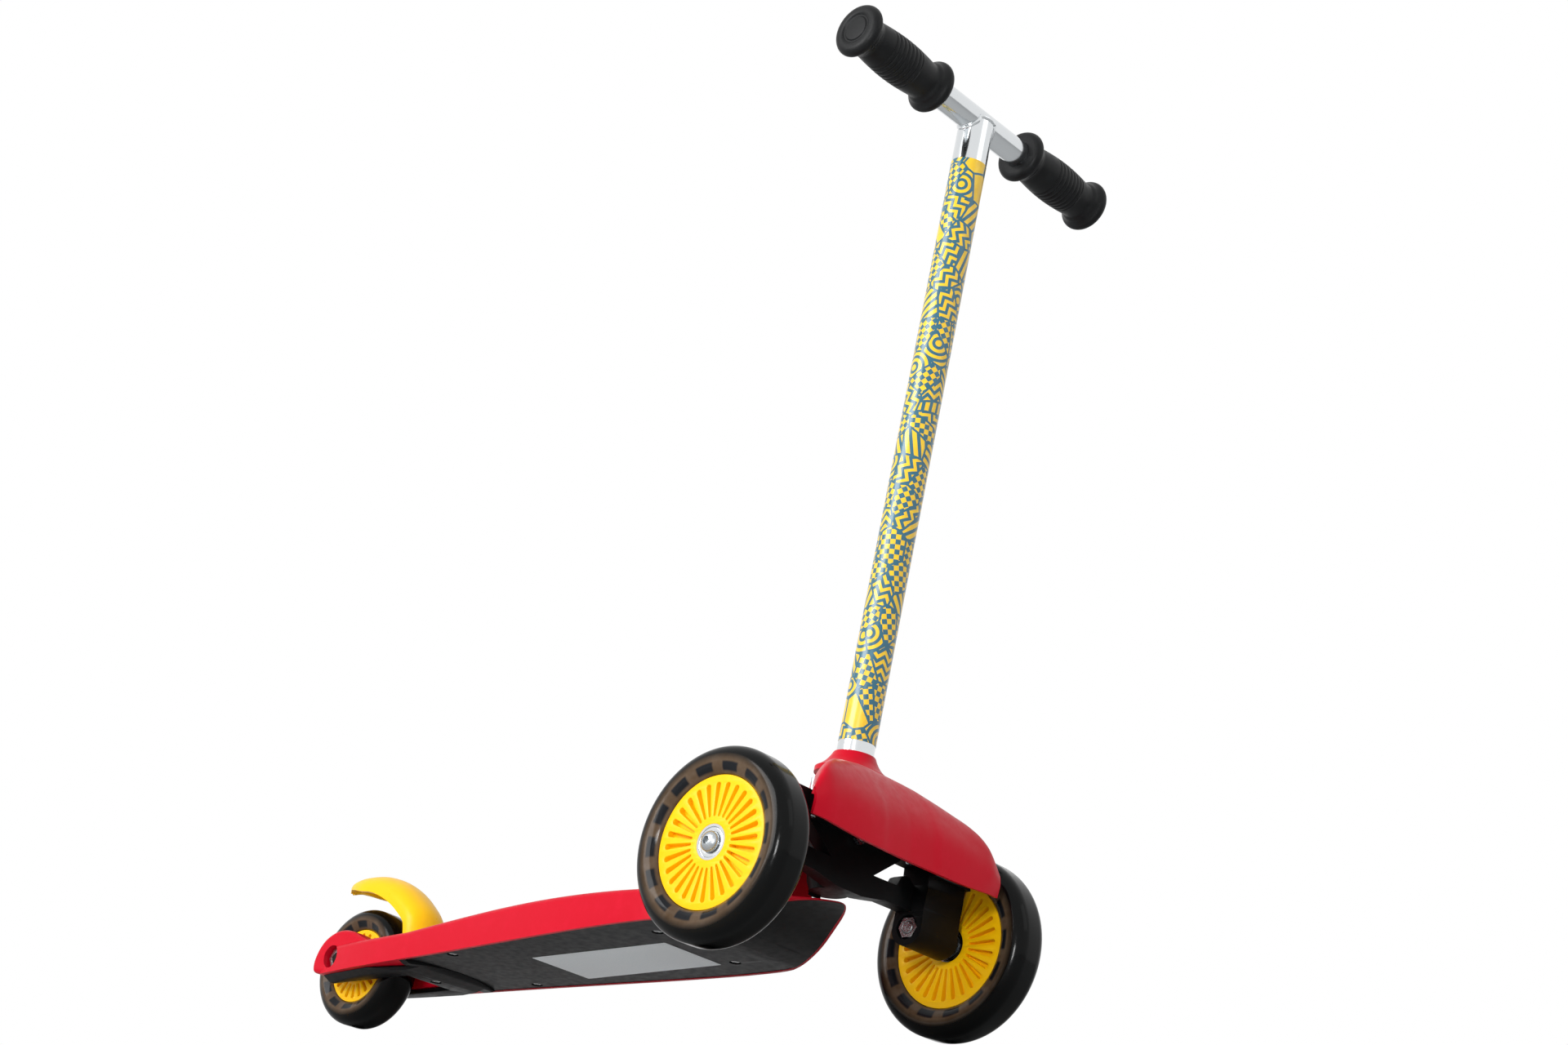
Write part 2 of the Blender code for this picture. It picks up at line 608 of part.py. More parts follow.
# Fork
def fork():
    """One black moulding: tower, cross beam, struts and the two legs."""
    tower_high = HEAD_LOW - 2 * GAP - BUSH_FLANGE
    half = [(0, BEAM_MIDDLE), (HEAD_R + 2 * MM, BEAM_MIDDLE), (HEAD_R + 10 * MM, BEAM_TOP),
            (BEAM_OUT - 9 * MM, BEAM_TOP), (BEAM_OUT - 2.5 * MM, BEAM_TOP - 2.5 * MM),
            (BEAM_OUT, BEAM_TOP - 9 * MM), (BEAM_OUT, STRUT_LOW + 11.5 * MM),
            (LEG_IN + 9.5 * MM, STRUT_LOW + 4.5 * MM), (16 * MM, STRUT_LOW), (0, STRUT_LOW)]
    window = [(TOWER_R + 1.5 * MM, STRUT_HIGH), (LEG_IN - 15.5 * MM, BEAM_LOW), (LEG_IN, BEAM_LOW),
              (LEG_IN, STRUT_HIGH + 5 * MM)]
    ear = arc(LEG_IN - 8 * MM, STRUT_HIGH + 1.5 * MM, 7.5 * MM, 35, 165, 4)
    window += ear + [(LEG_IN - 17 * MM, STRUT_HIGH + 0.5 * MM)]
    outer = [(y, z) for y, z in half] + [(-y, z) for y, z in reversed(half) if y > 0]
    windows = [window, [(-y, z) for y, z in window]]
    front = FRONT_AXLE_X + FORK_FRONT
    back = FRONT_AXLE_X + FORK_BACK
    stand = (math.pi / 2, 0, math.pi / 2)
    body = flat("front_fork", [outer] + windows, back, front, BLACK, edge=1.2 * MM, turn=stand)
    for side in (1, -1):
        join(body, leg(side))
    tower = rod("fork_tower", TOWER_R, TOWER_LOW, tower_high, None, 24,
                place=STEER_AT, turn=(0, LEAN, 0), group=cutters)
    join(body, tower)
    for i in range(RIBS):
        angle = math.radians(-90 + 180 * i / (RIBS - 1))
        fin = box("fork_rib_" + str(i), (TOWER_R - MM, -RIB / 2, TOWER_LOW + 2 * MM),
                  (TOWER_R + 2.4 * MM, RIB / 2, tower_high - 2 * MM), group=cutters)
        fin.matrix_world = steering.matrix_world @ Matrix.Rotation(angle, 4, "Z")
        join(body, fin)
    bore = rod("fork_column_bore", COLUMN_R + GAP, COLUMN_LOW - GAP, tower_high + MM, None, COLUMN_STEPS,
               place=STEER_AT, turn=(0, LEAN, 0), group=cutters)
    cut(body, bore)
    for side in (1, -1):
        name = "left" if side > 0 else "right"
        place = {"place": (FRONT_AXLE_X, side * WHEEL_Y, FRONT_WHEEL_R), "turn": SIDE_TURN[side]}
        cut(body, rod(name + "_axle_hole", AXLE_R + GAP, LEG_IN - WHEEL_Y - 2 * MM,
                      LEG_OUT - WHEEL_Y + MM, group=cutters, **place))
        pocket_floor = LEG_IN - WHEEL_Y + NUT_POCKET + GAP
        cut(body, rod(name + "_nut_pocket", NUT_R + 0.8 * MM, LEG_IN - WHEEL_Y - 2 * MM,
                      pocket_floor, group=cutters, **place))
        cut(body, rod(name + "_cover_screw_hole", SCREW_R + GAP, BEAM_LOW - 8 * MM,
                      BEAM_TOP + MM, group=cutters,
                      place=(FRONT_AXLE_X + COVER_POST_X, side * COVER_POST_Y, 0)))
    cut(body, rod("fork_bolt_hole", CROSS_R + GAP, -2 * TOWER_R, 2 * TOWER_R, None, 20,
                  group=cutters, **cross_place()))
    for side in (1, -1):
        low, high = sorted((side * CROSS_SEAT, side * 2 * TOWER_R))
        cut(body, rod("fork_bolt_seat_" + ("a" if side > 0 else "b"), CROSS_HEAD_R + MM, low, high,
                      None, 20, group=cutters, **cross_place()))
    tidy_faces(body)
    steered(body)
    return body


def leg(side):
    """A leg of the fork: a thick block, round under the axle and raked forward on top."""
    foot = arc(0, FRONT_WHEEL_R, LEG_R, 190, 350, 6)
    outline = in_mm([(-8, 96), (-9, 84), (-14.5, 68)]) + foot + in_mm([(18.2, 72), (19, 88), (18, 96)])
    low, high = sorted((side * LEG_IN, side * LEG_OUT))
    return flat("fork_leg_" + ("left" if side > 0 else "right"), [outline], -high, -low,
                edge=1.5 * MM, place=(FRONT_AXLE_X, 0, 0), turn=(math.pi / 2, 0, 0), group=cutters)


def cross_place():
    """Place of the bolt across the tower: its local Z points backwards, square to the column."""
    spot = steering.matrix_world @ Vector((0, 0, CROSS_AT))
    return {"place": spot, "turn": (0, LEAN - math.pi / 2, 0)}


def cross_bolt():
    """The bolt and its nut, sunk into the tower."""
    seat = CROSS_SEAT + GAP
    profile = [(0, seat + CROSS_HEAD), (CROSS_HEAD_R - MM, seat + CROSS_HEAD),
               (CROSS_HEAD_R, seat + CROSS_HEAD - MM), (CROSS_HEAD_R, seat), (CROSS_R, seat),
               (CROSS_R, -seat - CROSS_HEAD), (0, -seat - CROSS_HEAD)]
    bolt = turned("column_bolt", profile, STEEL, 20, closed=False, **cross_place())
    outlines = [circle(CROSS_HEAD_R, 6), circle(CROSS_R + GAP, 20)]
    nut = flat("column_nut", outlines, -seat - CROSS_HEAD + 0.4 * MM, -seat, STEEL, **cross_place())
    hole = rod("column_bolt_hole", CROSS_R + GAP, -2 * COLUMN_R, 2 * COLUMN_R, None, 20,
               group=cutters, **cross_place())
    cut(steering_column, hole)
    steered(bolt, nut, hole)


front_fork = fork()
cross_bolt()


# Head cover: at shares of its half width, from the middle to its end, X ahead of the front
# axle and height of seven points in mm, from the rear edge over the top to the front lip
COVER_STATIONS = [
    (0, [(-27, 142), (-12, 143.5), (6, 143), (21, 138), (35, 123), (45, 104), (47, 85.5)]),
    (0.339, [(-11, 139.5), (1, 141), (15, 139.5), (27, 133.5), (39, 119.5), (47.3, 102.5), (48.2, 85)]),
    (0.564, [(5, 134.5), (13, 136.3), (23, 134.6), (32.5, 128.8), (42, 116.5), (48.5, 101), (48.5, 84.6)]),
    (0.767, [(22, 129), (27, 130.4), (33, 128.4), (39, 122.6), (45.3, 112.3), (49, 99), (48.4, 84.2)]),
    (0.903, [(33.5, 122), (36.5, 123.2), (39.5, 121.6), (43, 116.8), (47, 108.3), (49, 97.5), (47.8, 84)]),
    (1, [(43, 103.5), (43.6, 104.2), (44.5, 103.4), (45.5, 101.4), (46.6, 98), (47, 93), (45.6, 84.2)]),
]


def head_cover():
    """The red shield over the fork: a thin shell with a collar round the column."""
    columns = len(COVER_STATIONS[0][1])
    tracks = []
    for k in range(columns):
        path = []
        for share, section in COVER_STATIONS:
            x, z = section[k]
            path.append((x * MM, share * COVER_HALF, z * MM))
        tracks.append(smooth(path, 2))
    rows = [smooth([track[i] for track in tracks], 2) for i in range(len(tracks[0]))]
    other = [[(x, -y, z) for x, y, z in row] for row in reversed(rows[1:])]
    place = (FRONT_AXLE_X, 0, 0)
    shell = loft("head_cover", other + rows, RED, closed_rows=False, place=place)
    wall = shell.modifiers.new("wall", "SOLIDIFY")
    wall.thickness = COVER_WALL
    wall.offset = -1
    wall.use_even_offset = True
    shell_faces_out(shell)
    collar = ring("cover_collar", COLUMN_R, COLLAR_R, COLLAR_LOW, COLLAR_HIGH, None, 24,
                  place=STEER_AT, turn=(0, LEAN, 0), group=cutters)
    join(shell, collar)
    for side in (1, -1):
        spot = (FRONT_AXLE_X + COVER_POST_X, side * COVER_POST_Y, 0)
        name = "left" if side > 0 else "right"
        join(shell, rod(name + "_cover_post", COVER_POST_R, BEAM_TOP + GAP, COVER_POST_TOP,
                        place=spot, group=cutters))
        cut(shell, rod(name + "_cover_pilot", SCREW_R + GAP, BEAM_TOP - MM, COVER_PILOT_TOP, None, 10,
                       place=spot, group=cutters))
    cut(shell, rod("cover_column_hole", COLUMN_R + GAP, HEAD_HIGH, 2 * COLLAR_HIGH, None, COLUMN_STEPS,
                   place=STEER_AT, turn=(0, LEAN, 0), group=cutters))
    tidy_faces(shell)
    steered(shell)
    return shell


def shell_faces_out(shell):
    """Point a sheet's faces up and forward, so that its wall grows inwards."""
    face = shell.data.polygons[len(shell.data.polygons) // 2]
    if face.normal.x + face.normal.z < 0:
        shell.data.flip_normals()


head_cover()


def screw(name, place, seat, length, turn=(0, 0, 0)):
    """A pan-head screw that points up, its head under the seat."""
    profile = [(0, seat + length), (SCREW_R, seat + length), (SCREW_R, seat), (SCREW_HEAD_R, seat),
               (0.8 * SCREW_HEAD_R, seat - SCREW_HEAD), (0, seat - SCREW_HEAD)]
    return turned(name, profile, STEEL, 10, closed=False, place=place, turn=turn)


for cover_side, side_name in ((1, "left"), (-1, "right")):
    spot = (FRONT_AXLE_X + COVER_POST_X, cover_side * COVER_POST_Y, 0)
    steered(screw(side_name + "_cover_screw", spot, BEAM_LOW - GAP, COVER_SCREW))

# Deck outline from the nose to the arm's end: X in the deck's frame, then X ahead of the rear axle
DECK_NOSE = in_mm([(235, 0), (231.5, 7), (217, 18.5), (200, 32), (182, 45.5), (166, 57), (148, 63.6),
                   (124, 64.8), (100, 64), (50, 60.3)])
DECK_TAIL = in_mm([(143, 50.3), (43, 41.5), (-10, 34.6)])


def deck_side(inset):
    """The plank's left edge from the nose to the end of the arm, moved in by an inset."""
    path = smooth(DECK_NOSE + [(AXLE_IN_DECK + x, y) for x, y in DECK_TAIL], 2)
    moved = []
    for i, (x, y) in enumerate(path):
        before, after = path[max(i - 1, 0)], path[min(i + 1, len(path) - 1)]
        along = Vector((after[0] - before[0], after[1] - before[1])).normalized()
        if i == 0:
            along = Vector((0, 1))
        moved.append((x - along.y * inset, y + along.x * inset))
    return moved


def wheel_slot(end, extra=0.0):
    """The left half of the gap for the rear wheel, from the arm's end to the middle line."""
    half = SLOT_HALF + extra
    front = SLOT_FRONT + extra
    corner = SLOT_CORNER_R
    return [(end, half)] + arc(front - corner, half - corner, corner, 90, 0, 4) + [(front, 0)]


def plank_outline():
    """The closed outline of the plank with its two arms."""
    side = [(x, y) for x, y in deck_side(0) if x > ARM_END + DECK_EDGE_R]
    return mirrored(side + [(ARM_END, side[-1][1] - MM)] + wheel_slot(ARM_END))


def edge_at(x):
    """Half width of the plank at a place along it."""
    side = deck_side(0)
    for (x1, y1), (x2, y2) in zip(side, side[1:]):
        if x2 <= x <= x1:
            return y1 + (y2 - y1) * (x1 - x) / (x1 - x2)
    return side[-1][1]


def deck_pocket():
    """The hollow under the plank, open below, closed towards the arms."""
    inner = [(x, y) for x, y in deck_side(DECK_WALL) if x > POCKET_BACK]
    return mirrored(inner + [(POCKET_BACK, inner[-1][1]), (POCKET_BACK, 0)])


def lug(side):
    """The rounded lug at an arm's end that holds the rear axle."""
    outline = in_mm([(46, 39), (46, 51), (36, 52.3), (26, 56), (17, 59.7), (8, 61.2), (-1, 60.3), (-10, 56),
                     (-16, 49.5), (-19.4, 41.5), (-19.6, 35), (-17, 31.6), (-8, 30.4), (25, 31.2)])
    outline = [(REAR_AXLE_X + x, z) for x, z in outline]
    low, high = sorted((side * SLOT_HALF, side * LUG_OUT))
    return flat("deck_lug_" + ("left" if side > 0 else "right"), [outline], -high, -low,
                edge=2.0 * MM, turn=(math.pi / 2, 0, 0), group=cutters)


def neck():
    """The neck that rises from the deck behind the fork to the head ring."""
    levels = [(52, -132, -42, 19, 40), (58, -114, -42, 18.5, 33), (70, -90, -42, 18, 27),
              (90, -71, -41, 18, 23.5), (108, -60, -39.5, 18.5, 22), (115, -56, -32, 19, 21.5),
              (126, -49, -26, 18.5, 20), (130.5, -42, -26, 16, 17)]
    corner = 4
    sections = []
    for z, back, front, front_half, half in levels:
        round_back = 0.45 * half
        quarter = (arc(front - corner, front_half - corner, corner, 0, 90, 2)
                   + arc(back + round_back, half - round_back, round_back, 80, 180, 4))
        outline = quarter + [(x, -y) for x, y in reversed(quarter) if y > 0]
        sections.append([(x * MM, y * MM, z * MM) for x, y in outline])
    return loft("deck_neck", sections, place=(FRONT_AXLE_X, 0, 0), group=cutters)


def screw_place(x, y):
    """Place and turn of a screw square to the deck."""
    return {"place": DECK_FRAME @ Vector((x, y, 0)), "turn": DECK_PLACE["turn"]}


def deck():
    """The red moulding: plank with skirt, fork arms, lugs, neck and head ring."""
    body = flat("deck", [plank_outline()], -2 * DECK_EDGE_R, SKIRT, RED, edge=DECK_EDGE_R, **DECK_PLACE)
    tools = {"group": cutters, **DECK_PLACE}
    cut(body, box("deck_underside", (-FAR, -FAR, -FAR), (FAR, FAR, 0), **tools))
    cut(body, flat("deck_hollow", [deck_pocket()], -SKIRT, SKIRT - DECK_TOP_WALL, **tools))
    join(body, lug(1), lug(-1), neck())
    join(body, rod("head_ring", HEAD_R, HEAD_LOW, HEAD_HIGH, None, 28, place=STEER_AT,
                   turn=(0, LEAN, 0), group=cutters))
    cut(body, rod("head_bore", BUSH_R + GAP, HEAD_LOW - 5 * MM, HEAD_HIGH + 5 * MM, None, COLUMN_STEPS,
                  place=STEER_AT, turn=(0, LEAN, 0), group=cutters))
    post_low = PLATE_INSET + PLATE + GAP
    for i, (x, y, face) in enumerate(SCREW_SPOTS):
        where = {**screw_place(x, y), "group": cutters}
        if x > POCKET_BACK:
            join(body, rod("deck_post_" + str(i), POST_R, post_low, SKIRT - DECK_TOP_WALL + MM, **where))
        cut(body, rod("deck_pilot_" + str(i), SCREW_R + GAP, face - MM,
                      face + SCREW_RECESS + SCREW_LENGTH, **where))
    cut(body, rod("rear_axle_hole", AXLE_R + GAP, -FAR, FAR, group=cutters, **REAR_PLACE))
    for name, low, high in (("left", LUG_SEAT, FAR), ("right", -FAR, -LUG_SEAT)):
        cut(body, rod(name + "_lug_hole", LUG_HOLE_R, low, high, group=cutters, **REAR_PLACE))
    cut(body, rod("brake_pin_hole", PIN_R + GAP, -PIN_HALF - GAP, PIN_HALF + GAP, None, 16,
                  group=cutters, **HINGE_PLACE))
    grooves = 1 + int((GROOVE_FRONT - BRACKET_FRONT - GROOVE_WIDTH) / GROOVE_PITCH)
    for i in range(grooves):
        x = GROOVE_FRONT - i * GROOVE_PITCH
        half = edge_at(x) - GROOVE_MARGIN
        cut(body, box("deck_groove_" + str(i), (x, -half, SKIRT - GROOVE_DEPTH),
                      (x + GROOVE_WIDTH, half, SKIRT + MM), **tools))
    tidy_faces(body)
    return body


deck()


# Bottom cover
def bottom_cover():
    """The black plate in the skirt, with a thicker bracket under the arms."""
    back = POCKET_BACK + GAP
    inner = [(x, y) for x, y in deck_side(DECK_WALL + GAP) if x > back]
    outline = mirrored(inner + [(back, inner[-1][1]), (back, 0)])
    plate = flat("bottom_cover", [outline], PLATE_INSET, PLATE_INSET + PLATE, BLACK, **DECK_PLACE)
    tools = {"group": cutters, **DECK_PLACE}
    front = BRACKET_FRONT
    edge = [(x, y) for x, y in deck_side(DECK_WALL + 2 * GAP) if ARM_END + 2 * MM < x < front - 12 * MM]
    bow = [(front, 0), (front - 1.5 * MM, 16 * MM), (front - 6 * MM, 30 * MM)]
    bracket = mirrored(bow + edge + [(ARM_END, edge[-1][1] - 1.5 * MM)] + wheel_slot(ARM_END, MM))
    join(plate, flat("cover_bracket", [bracket], BRACKET_LOW, -GAP, edge=0.8 * MM, **tools))
    corner_y = inner[-1][1] - GAP
    foot = [(x + GAP, y) for x, y in bow]
    foot = mirrored(foot + [(back + 6 * MM, corner_y), (back + GAP, corner_y), (back + GAP, 0)])
    join(plate, flat("cover_foot", [foot], BRACKET_LOW / 2, PLATE, **tools))
    for i, (x, y, face) in enumerate(SCREW_SPOTS):
        where = {**screw_place(x, y), "group": cutters}
        cut(plate, rod("plate_hole_" + str(i), SCREW_R + GAP, -SKIRT, SKIRT, **where))
        cut(plate, rod("plate_recess_" + str(i), SCREW_HEAD_R + GAP, face - MM, face + SCREW_RECESS, **where))
    tidy_faces(plate)
    return plate


bottom_cover()
for count, (screw_x, screw_y, screw_face) in enumerate(SCREW_SPOTS):
    screw("deck_screw_" + str(count + 1), seat=screw_face + SCREW_RECESS - GAP, length=SCREW_LENGTH,
          **screw_place(screw_x, screw_y))


# Brake fender over the rear wheel, from its tail to its root: X ahead of the rear axle and
# height of the crown in mm, then the shares of the full width and of the full drop at the sides
FENDER_CROWN = [
    (-35, 101, 0.12, 0.10), (-30, 105, 0.4, 0.30), (-20, 108, 0.73, 0.60), (-6, 109.4, 0.96, 0.86),
    (12, 108.2, 1, 0.95), (31, 101.8, 1, 1), (48, 90.7, 1, 0.98), (61.5, 76, 1, 0.92), (65, 56, 1, 0.8),
]


def fender():
    """A yellow arched shell with a pointed tail, hinged in front of the wheel."""
    path = smooth([(x * MM, z * MM, width, drop) for x, z, width, drop in FENDER_CROWN], 2)
    rows = []
    for i, (x, z, width, drop) in enumerate(path):
        before, after = path[max(i - 1, 0)], path[min(i + 1, len(path) - 1)]
        along = Vector((after[0] - before[0], after[1] - before[1])).normalized()
        out = Vector((-along.y, along.x))
        row = []
        for k in range(7):
            angle = math.radians(-90 + 30 * k)
            down = FENDER_DROP * drop * (1 - math.cos(angle) ** 0.8)
            row.append((x - out.x * down, FENDER_HALF * width * math.sin(angle), z - out.y * down))
        rows.append(row)
    rows = [[(x - HINGE_AHEAD, y, z - HINGE_HEIGHT) for x, y, z in row] for row in rows]
    shell = loft("brake_fender", rows, YELLOW, closed_rows=False, place=HINGE_AT)
    shell_faces_out(shell)
    wall = shell.modifiers.new("wall", "SOLIDIFY")
    wall.thickness = FENDER_WALL
    wall.offset = -1
    wall.use_even_offset = True
    join(shell, rod("fender_barrel", HINGE_R, -FENDER_HALF, FENDER_HALF, None, 24, group=cutters,
                    **HINGE_PLACE))
    join(shell, box("fender_root", (-4.6 * MM, -FENDER_HALF + 2 * MM, 0),
                    (4.6 * MM, FENDER_HALF - 2 * MM, 16 * MM), place=HINGE_AT, group=cutters))
    cut(shell, box("fender_spring_gap", (-12 * MM, -SPRING_GAP / 2, -12 * MM),
                   (12 * MM, SPRING_GAP / 2, 9 * MM), place=HINGE_AT, group=cutters))
    cut(shell, rod("fender_pin_hole", PIN_R + GAP, -2 * FENDER_HALF, 2 * FENDER_HALF, None, 16,
                   group=cutters, **HINGE_PLACE))
    tidy_faces(shell)
    return shell


fender()
rod("brake_pin", PIN_R, -PIN_HALF, PIN_HALF, STEEL, 16, **HINGE_PLACE)


def brake_spring():
    """A torsion spring on the brake pin, between the fender's two hinge barrels."""
    radius = PIN_R + GAP + SPRING_WIRE_R + 0.1 * MM
    per_turn = 8
    pitch = 2 * SPRING_WIRE_R + 0.5 * MM
    count = SPRING_TURNS * per_turn
    half = SPRING_TURNS * pitch / 2
    points = [(SPRING_REACH, -half, -radius - 3.0 * MM)]
    for i in range(count + 1):
        turn = -math.pi / 2 + math.tau * i / per_turn
        points.append((radius * math.cos(turn), -half + pitch * i / per_turn, radius * math.sin(turn)))
    points.append((SPRING_REACH, half, -radius - 1.0 * MM))
    curve = bpy.data.curves.new("brake_spring", "CURVE")
    curve.dimensions = "3D"
    curve.bevel_depth = SPRING_WIRE_R
    curve.bevel_resolution = 1
    curve.use_fill_caps = True
    spline = curve.splines.new("POLY")
    spline.points.add(len(points) - 1)
    for point, co in zip(spline.points, points):
        point.co = (*co, 1)
    return add("brake_spring", curve, STEEL, place=HINGE_AT)


brake_spring()
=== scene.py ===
# %% [markdown]
# # Dressing a three-wheel kick scooter
# The scooter's solids come in as a fixed frame: every piece has its true size and place,
# but plain facets and no finish. This lesson makes the surface of each piece the way it is
# made in the factory. Moulded parts become smooth shells with rounded edges, turned parts
# become lathe profiles, and each material starts from what the real one is.

# %% The frame
import json
import math

import bmesh
import bpy
from mathutils import Matrix, Vector


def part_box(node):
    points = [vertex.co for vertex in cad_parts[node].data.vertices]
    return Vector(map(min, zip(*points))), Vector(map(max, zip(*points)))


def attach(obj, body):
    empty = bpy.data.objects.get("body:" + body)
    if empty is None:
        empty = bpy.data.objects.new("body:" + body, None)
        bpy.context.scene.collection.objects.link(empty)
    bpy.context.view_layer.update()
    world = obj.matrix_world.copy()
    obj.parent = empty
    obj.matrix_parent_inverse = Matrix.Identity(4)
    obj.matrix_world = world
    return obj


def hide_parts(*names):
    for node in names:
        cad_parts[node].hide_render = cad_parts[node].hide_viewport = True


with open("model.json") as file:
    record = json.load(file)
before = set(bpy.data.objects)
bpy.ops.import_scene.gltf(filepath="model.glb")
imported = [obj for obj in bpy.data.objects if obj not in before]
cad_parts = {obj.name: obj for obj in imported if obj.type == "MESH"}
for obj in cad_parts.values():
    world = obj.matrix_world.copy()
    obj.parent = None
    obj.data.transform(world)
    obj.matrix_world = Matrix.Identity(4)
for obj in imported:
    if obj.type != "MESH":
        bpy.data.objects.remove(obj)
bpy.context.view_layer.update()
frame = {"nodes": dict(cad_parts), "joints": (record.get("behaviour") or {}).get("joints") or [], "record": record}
scene = bpy.context.scene

# %% [markdown]
# ## Places taken from the frame
# The wheels' boxes give their centres and radii, and the steering joint gives the line of
# the leaning column. Everything that is steered is drawn upright in its own space and is
# then leaned with one matrix, which is how it would be drawn in a workshop. The plank has
# such a space too: its middle lies behind the front axle, and it rises a little forwards.

# %% Places
MM = 0.001


def middle_of(node):
    """Centre of a node's box."""
    low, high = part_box(node)
    return (low + high) / 2


def radius_of(node):
    """Half the height of a node's box, which is a wheel's radius."""
    low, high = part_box(node)
    return (high.z - low.z) / 2


FRONT_AXLE = Vector((middle_of("left_tyre").x, 0, middle_of("left_tyre").z))
REAR_AXLE = middle_of("rear_tyre")
joints = {joint["name"]: joint for joint in frame["joints"]}
STEER_AXIS = joints["steer"]["axis"]
LEAN = math.atan2(STEER_AXIS[0], STEER_AXIS[2])
COLUMN = Matrix.Translation(joints["steer"]["pos_m"]) @ Matrix.Rotation(LEAN, 4, "Y")
HINGE = Vector(joints["brake_press"]["pos_m"])
FORK = Matrix.Translation((FRONT_AXLE.x, 0, 0))
DECK_BEHIND_AXLE, DECK_HEIGHT = 250 * MM, 34.6 * MM
DECK_TILT = Matrix.Rotation(-math.radians(1.19), 4, "Y")
DECK = Matrix.Translation((FRONT_AXLE.x - DECK_BEHIND_AXLE, 0, DECK_HEIGHT)) @ DECK_TILT
OUTWARD = {1: Matrix.Rotation(-math.pi / 2, 4, "X"), -1: Matrix.Rotation(math.pi / 2, 4, "X")}
print("front axle", FRONT_AXLE, "rear axle", REAR_AXLE, "lean", round(math.degrees(LEAN), 2))

# %% [markdown]
# ## Colours and nodes
# Colours are picked as sRGB hex values, the way a paint chart gives them, and the renderer
# wants them linear. One small function adds any shader node with its settings and links,
# so that a material below reads as a list of what feeds what.

# %% Colour and node helpers
def hex_colour(code):
    """Linear red, green, blue and alpha from a hex value such as "#D01830"."""
    channels = [int(code[i:i + 2], 16) / 255 for i in (1, 3, 5)]
    linear = [c / 12.92 if c <= 0.04045 else ((c + 0.055) / 1.055) ** 2.4 for c in channels]
    return (*linear, 1.0)


def add_node(tree, kind, settings=None, inputs=None):
    """Add a node, set its properties, then set or link its inputs by name or number."""
    made = tree.nodes.new("ShaderNode" + kind)
    for name, value in (settings or {}).items():
        setattr(made, name, value)
    for name, value in (inputs or {}).items():
        if isinstance(value, bpy.types.NodeSocket):
            tree.links.new(value, made.inputs[name])
        else:
            made.inputs[name].default_value = value
    return made


def start_material(name, **shader_values):
    """A material with a Principled shader whose sockets are set by name."""
    made = bpy.data.materials.new(name)
    made.use_nodes = True
    shader = made.node_tree.nodes["Principled BSDF"]
    for socket, value in shader_values.items():
        shader.inputs[socket.replace("_", " ")].default_value = value
    return made, made.node_tree, shader


def feed(tree, shader, **sockets):
    """Link sockets to a shader's inputs, which are given by name."""
    for name, socket in sockets.items():
        tree.links.new(socket, shader.inputs[name.replace("_", " ")])


print("white in linear light:", hex_colour("#FFFFFF"), "and mid grey:", hex_colour("#808080"))

# %% [markdown]
# ## Patches, mottling and skin
# Three things turn up on almost every real surface: patches where the gloss differs, a
# colour that is a little uneven, and a fine relief that breaks up reflections. All three
# can be had from one noise texture. Its scale is one over the real size of its lumps, so
# each finish below is written with sizes that a ruler or a loupe would give.

# %% Patterns that the finishes share
def patches(tree, where, size, share, values, detail=2.0, roughness=0.5):
    """Cloudy patches about as wide as a size: a share of the noise is spread over two values."""
    texture = {"Vector": where, "Scale": 1 / size, "Detail": detail, "Roughness": roughness}
    cloud = add_node(tree, "TexNoise", None, texture).outputs["Fac"]
    ends = {0: cloud, 1: share[0], 2: share[1], 3: values[0], 4: values[1]}
    return add_node(tree, "MapRange", None, ends).outputs["Result"]


def mottled(tree, where, size, colours, share, most=1.0, detail=2.0, roughness=0.5):
    """A colour with patches of a second one; each is a hex value or a socket."""
    first, second = [hex_colour(c) if isinstance(c, str) else c for c in colours]
    amount = patches(tree, where, size, share, (0, most), detail, roughness)
    return add_node(tree, "Mix", {"data_type": "RGBA"}, {0: amount, 6: first, 7: second}).outputs[2]


def skin(tree, shader, where, size, depth, strength, detail=2.0):
    """A relief of lumps about as wide as a size and as high as a depth."""
    lumps = {"Vector": where, "Scale": 1 / size, "Detail": detail, "Roughness": 0.5}
    height = add_node(tree, "TexNoise", None, lumps).outputs["Fac"]
    relief = add_node(tree, "Bump", None, {"Height": height, "Distance": depth, "Strength": strength})
    feed(tree, shader, Normal=relief.outputs["Normal"])


print("a lump of 5 mm is a noise scale of", 1 / (5 * MM))

# %% [markdown]
# ## Moulded polypropylene
# The deck, the cover, the fender and the wheel cores are injection moulded. The steel tool
# is spark-eroded, which leaves a fine, even grain on the plastic. So a moulding isn't a
# mirror: its gloss is soft, a little uneven where hands and shoes have rubbed it, and the
# colour goes all the way through. Polypropylene has an IOR of 1.49.

# %% Moulded plastics
FLOW_MARKS, RUBBED_PATCHES, GLOSS_PATCHES = 42 * MM, 11 * MM, 5 * MM


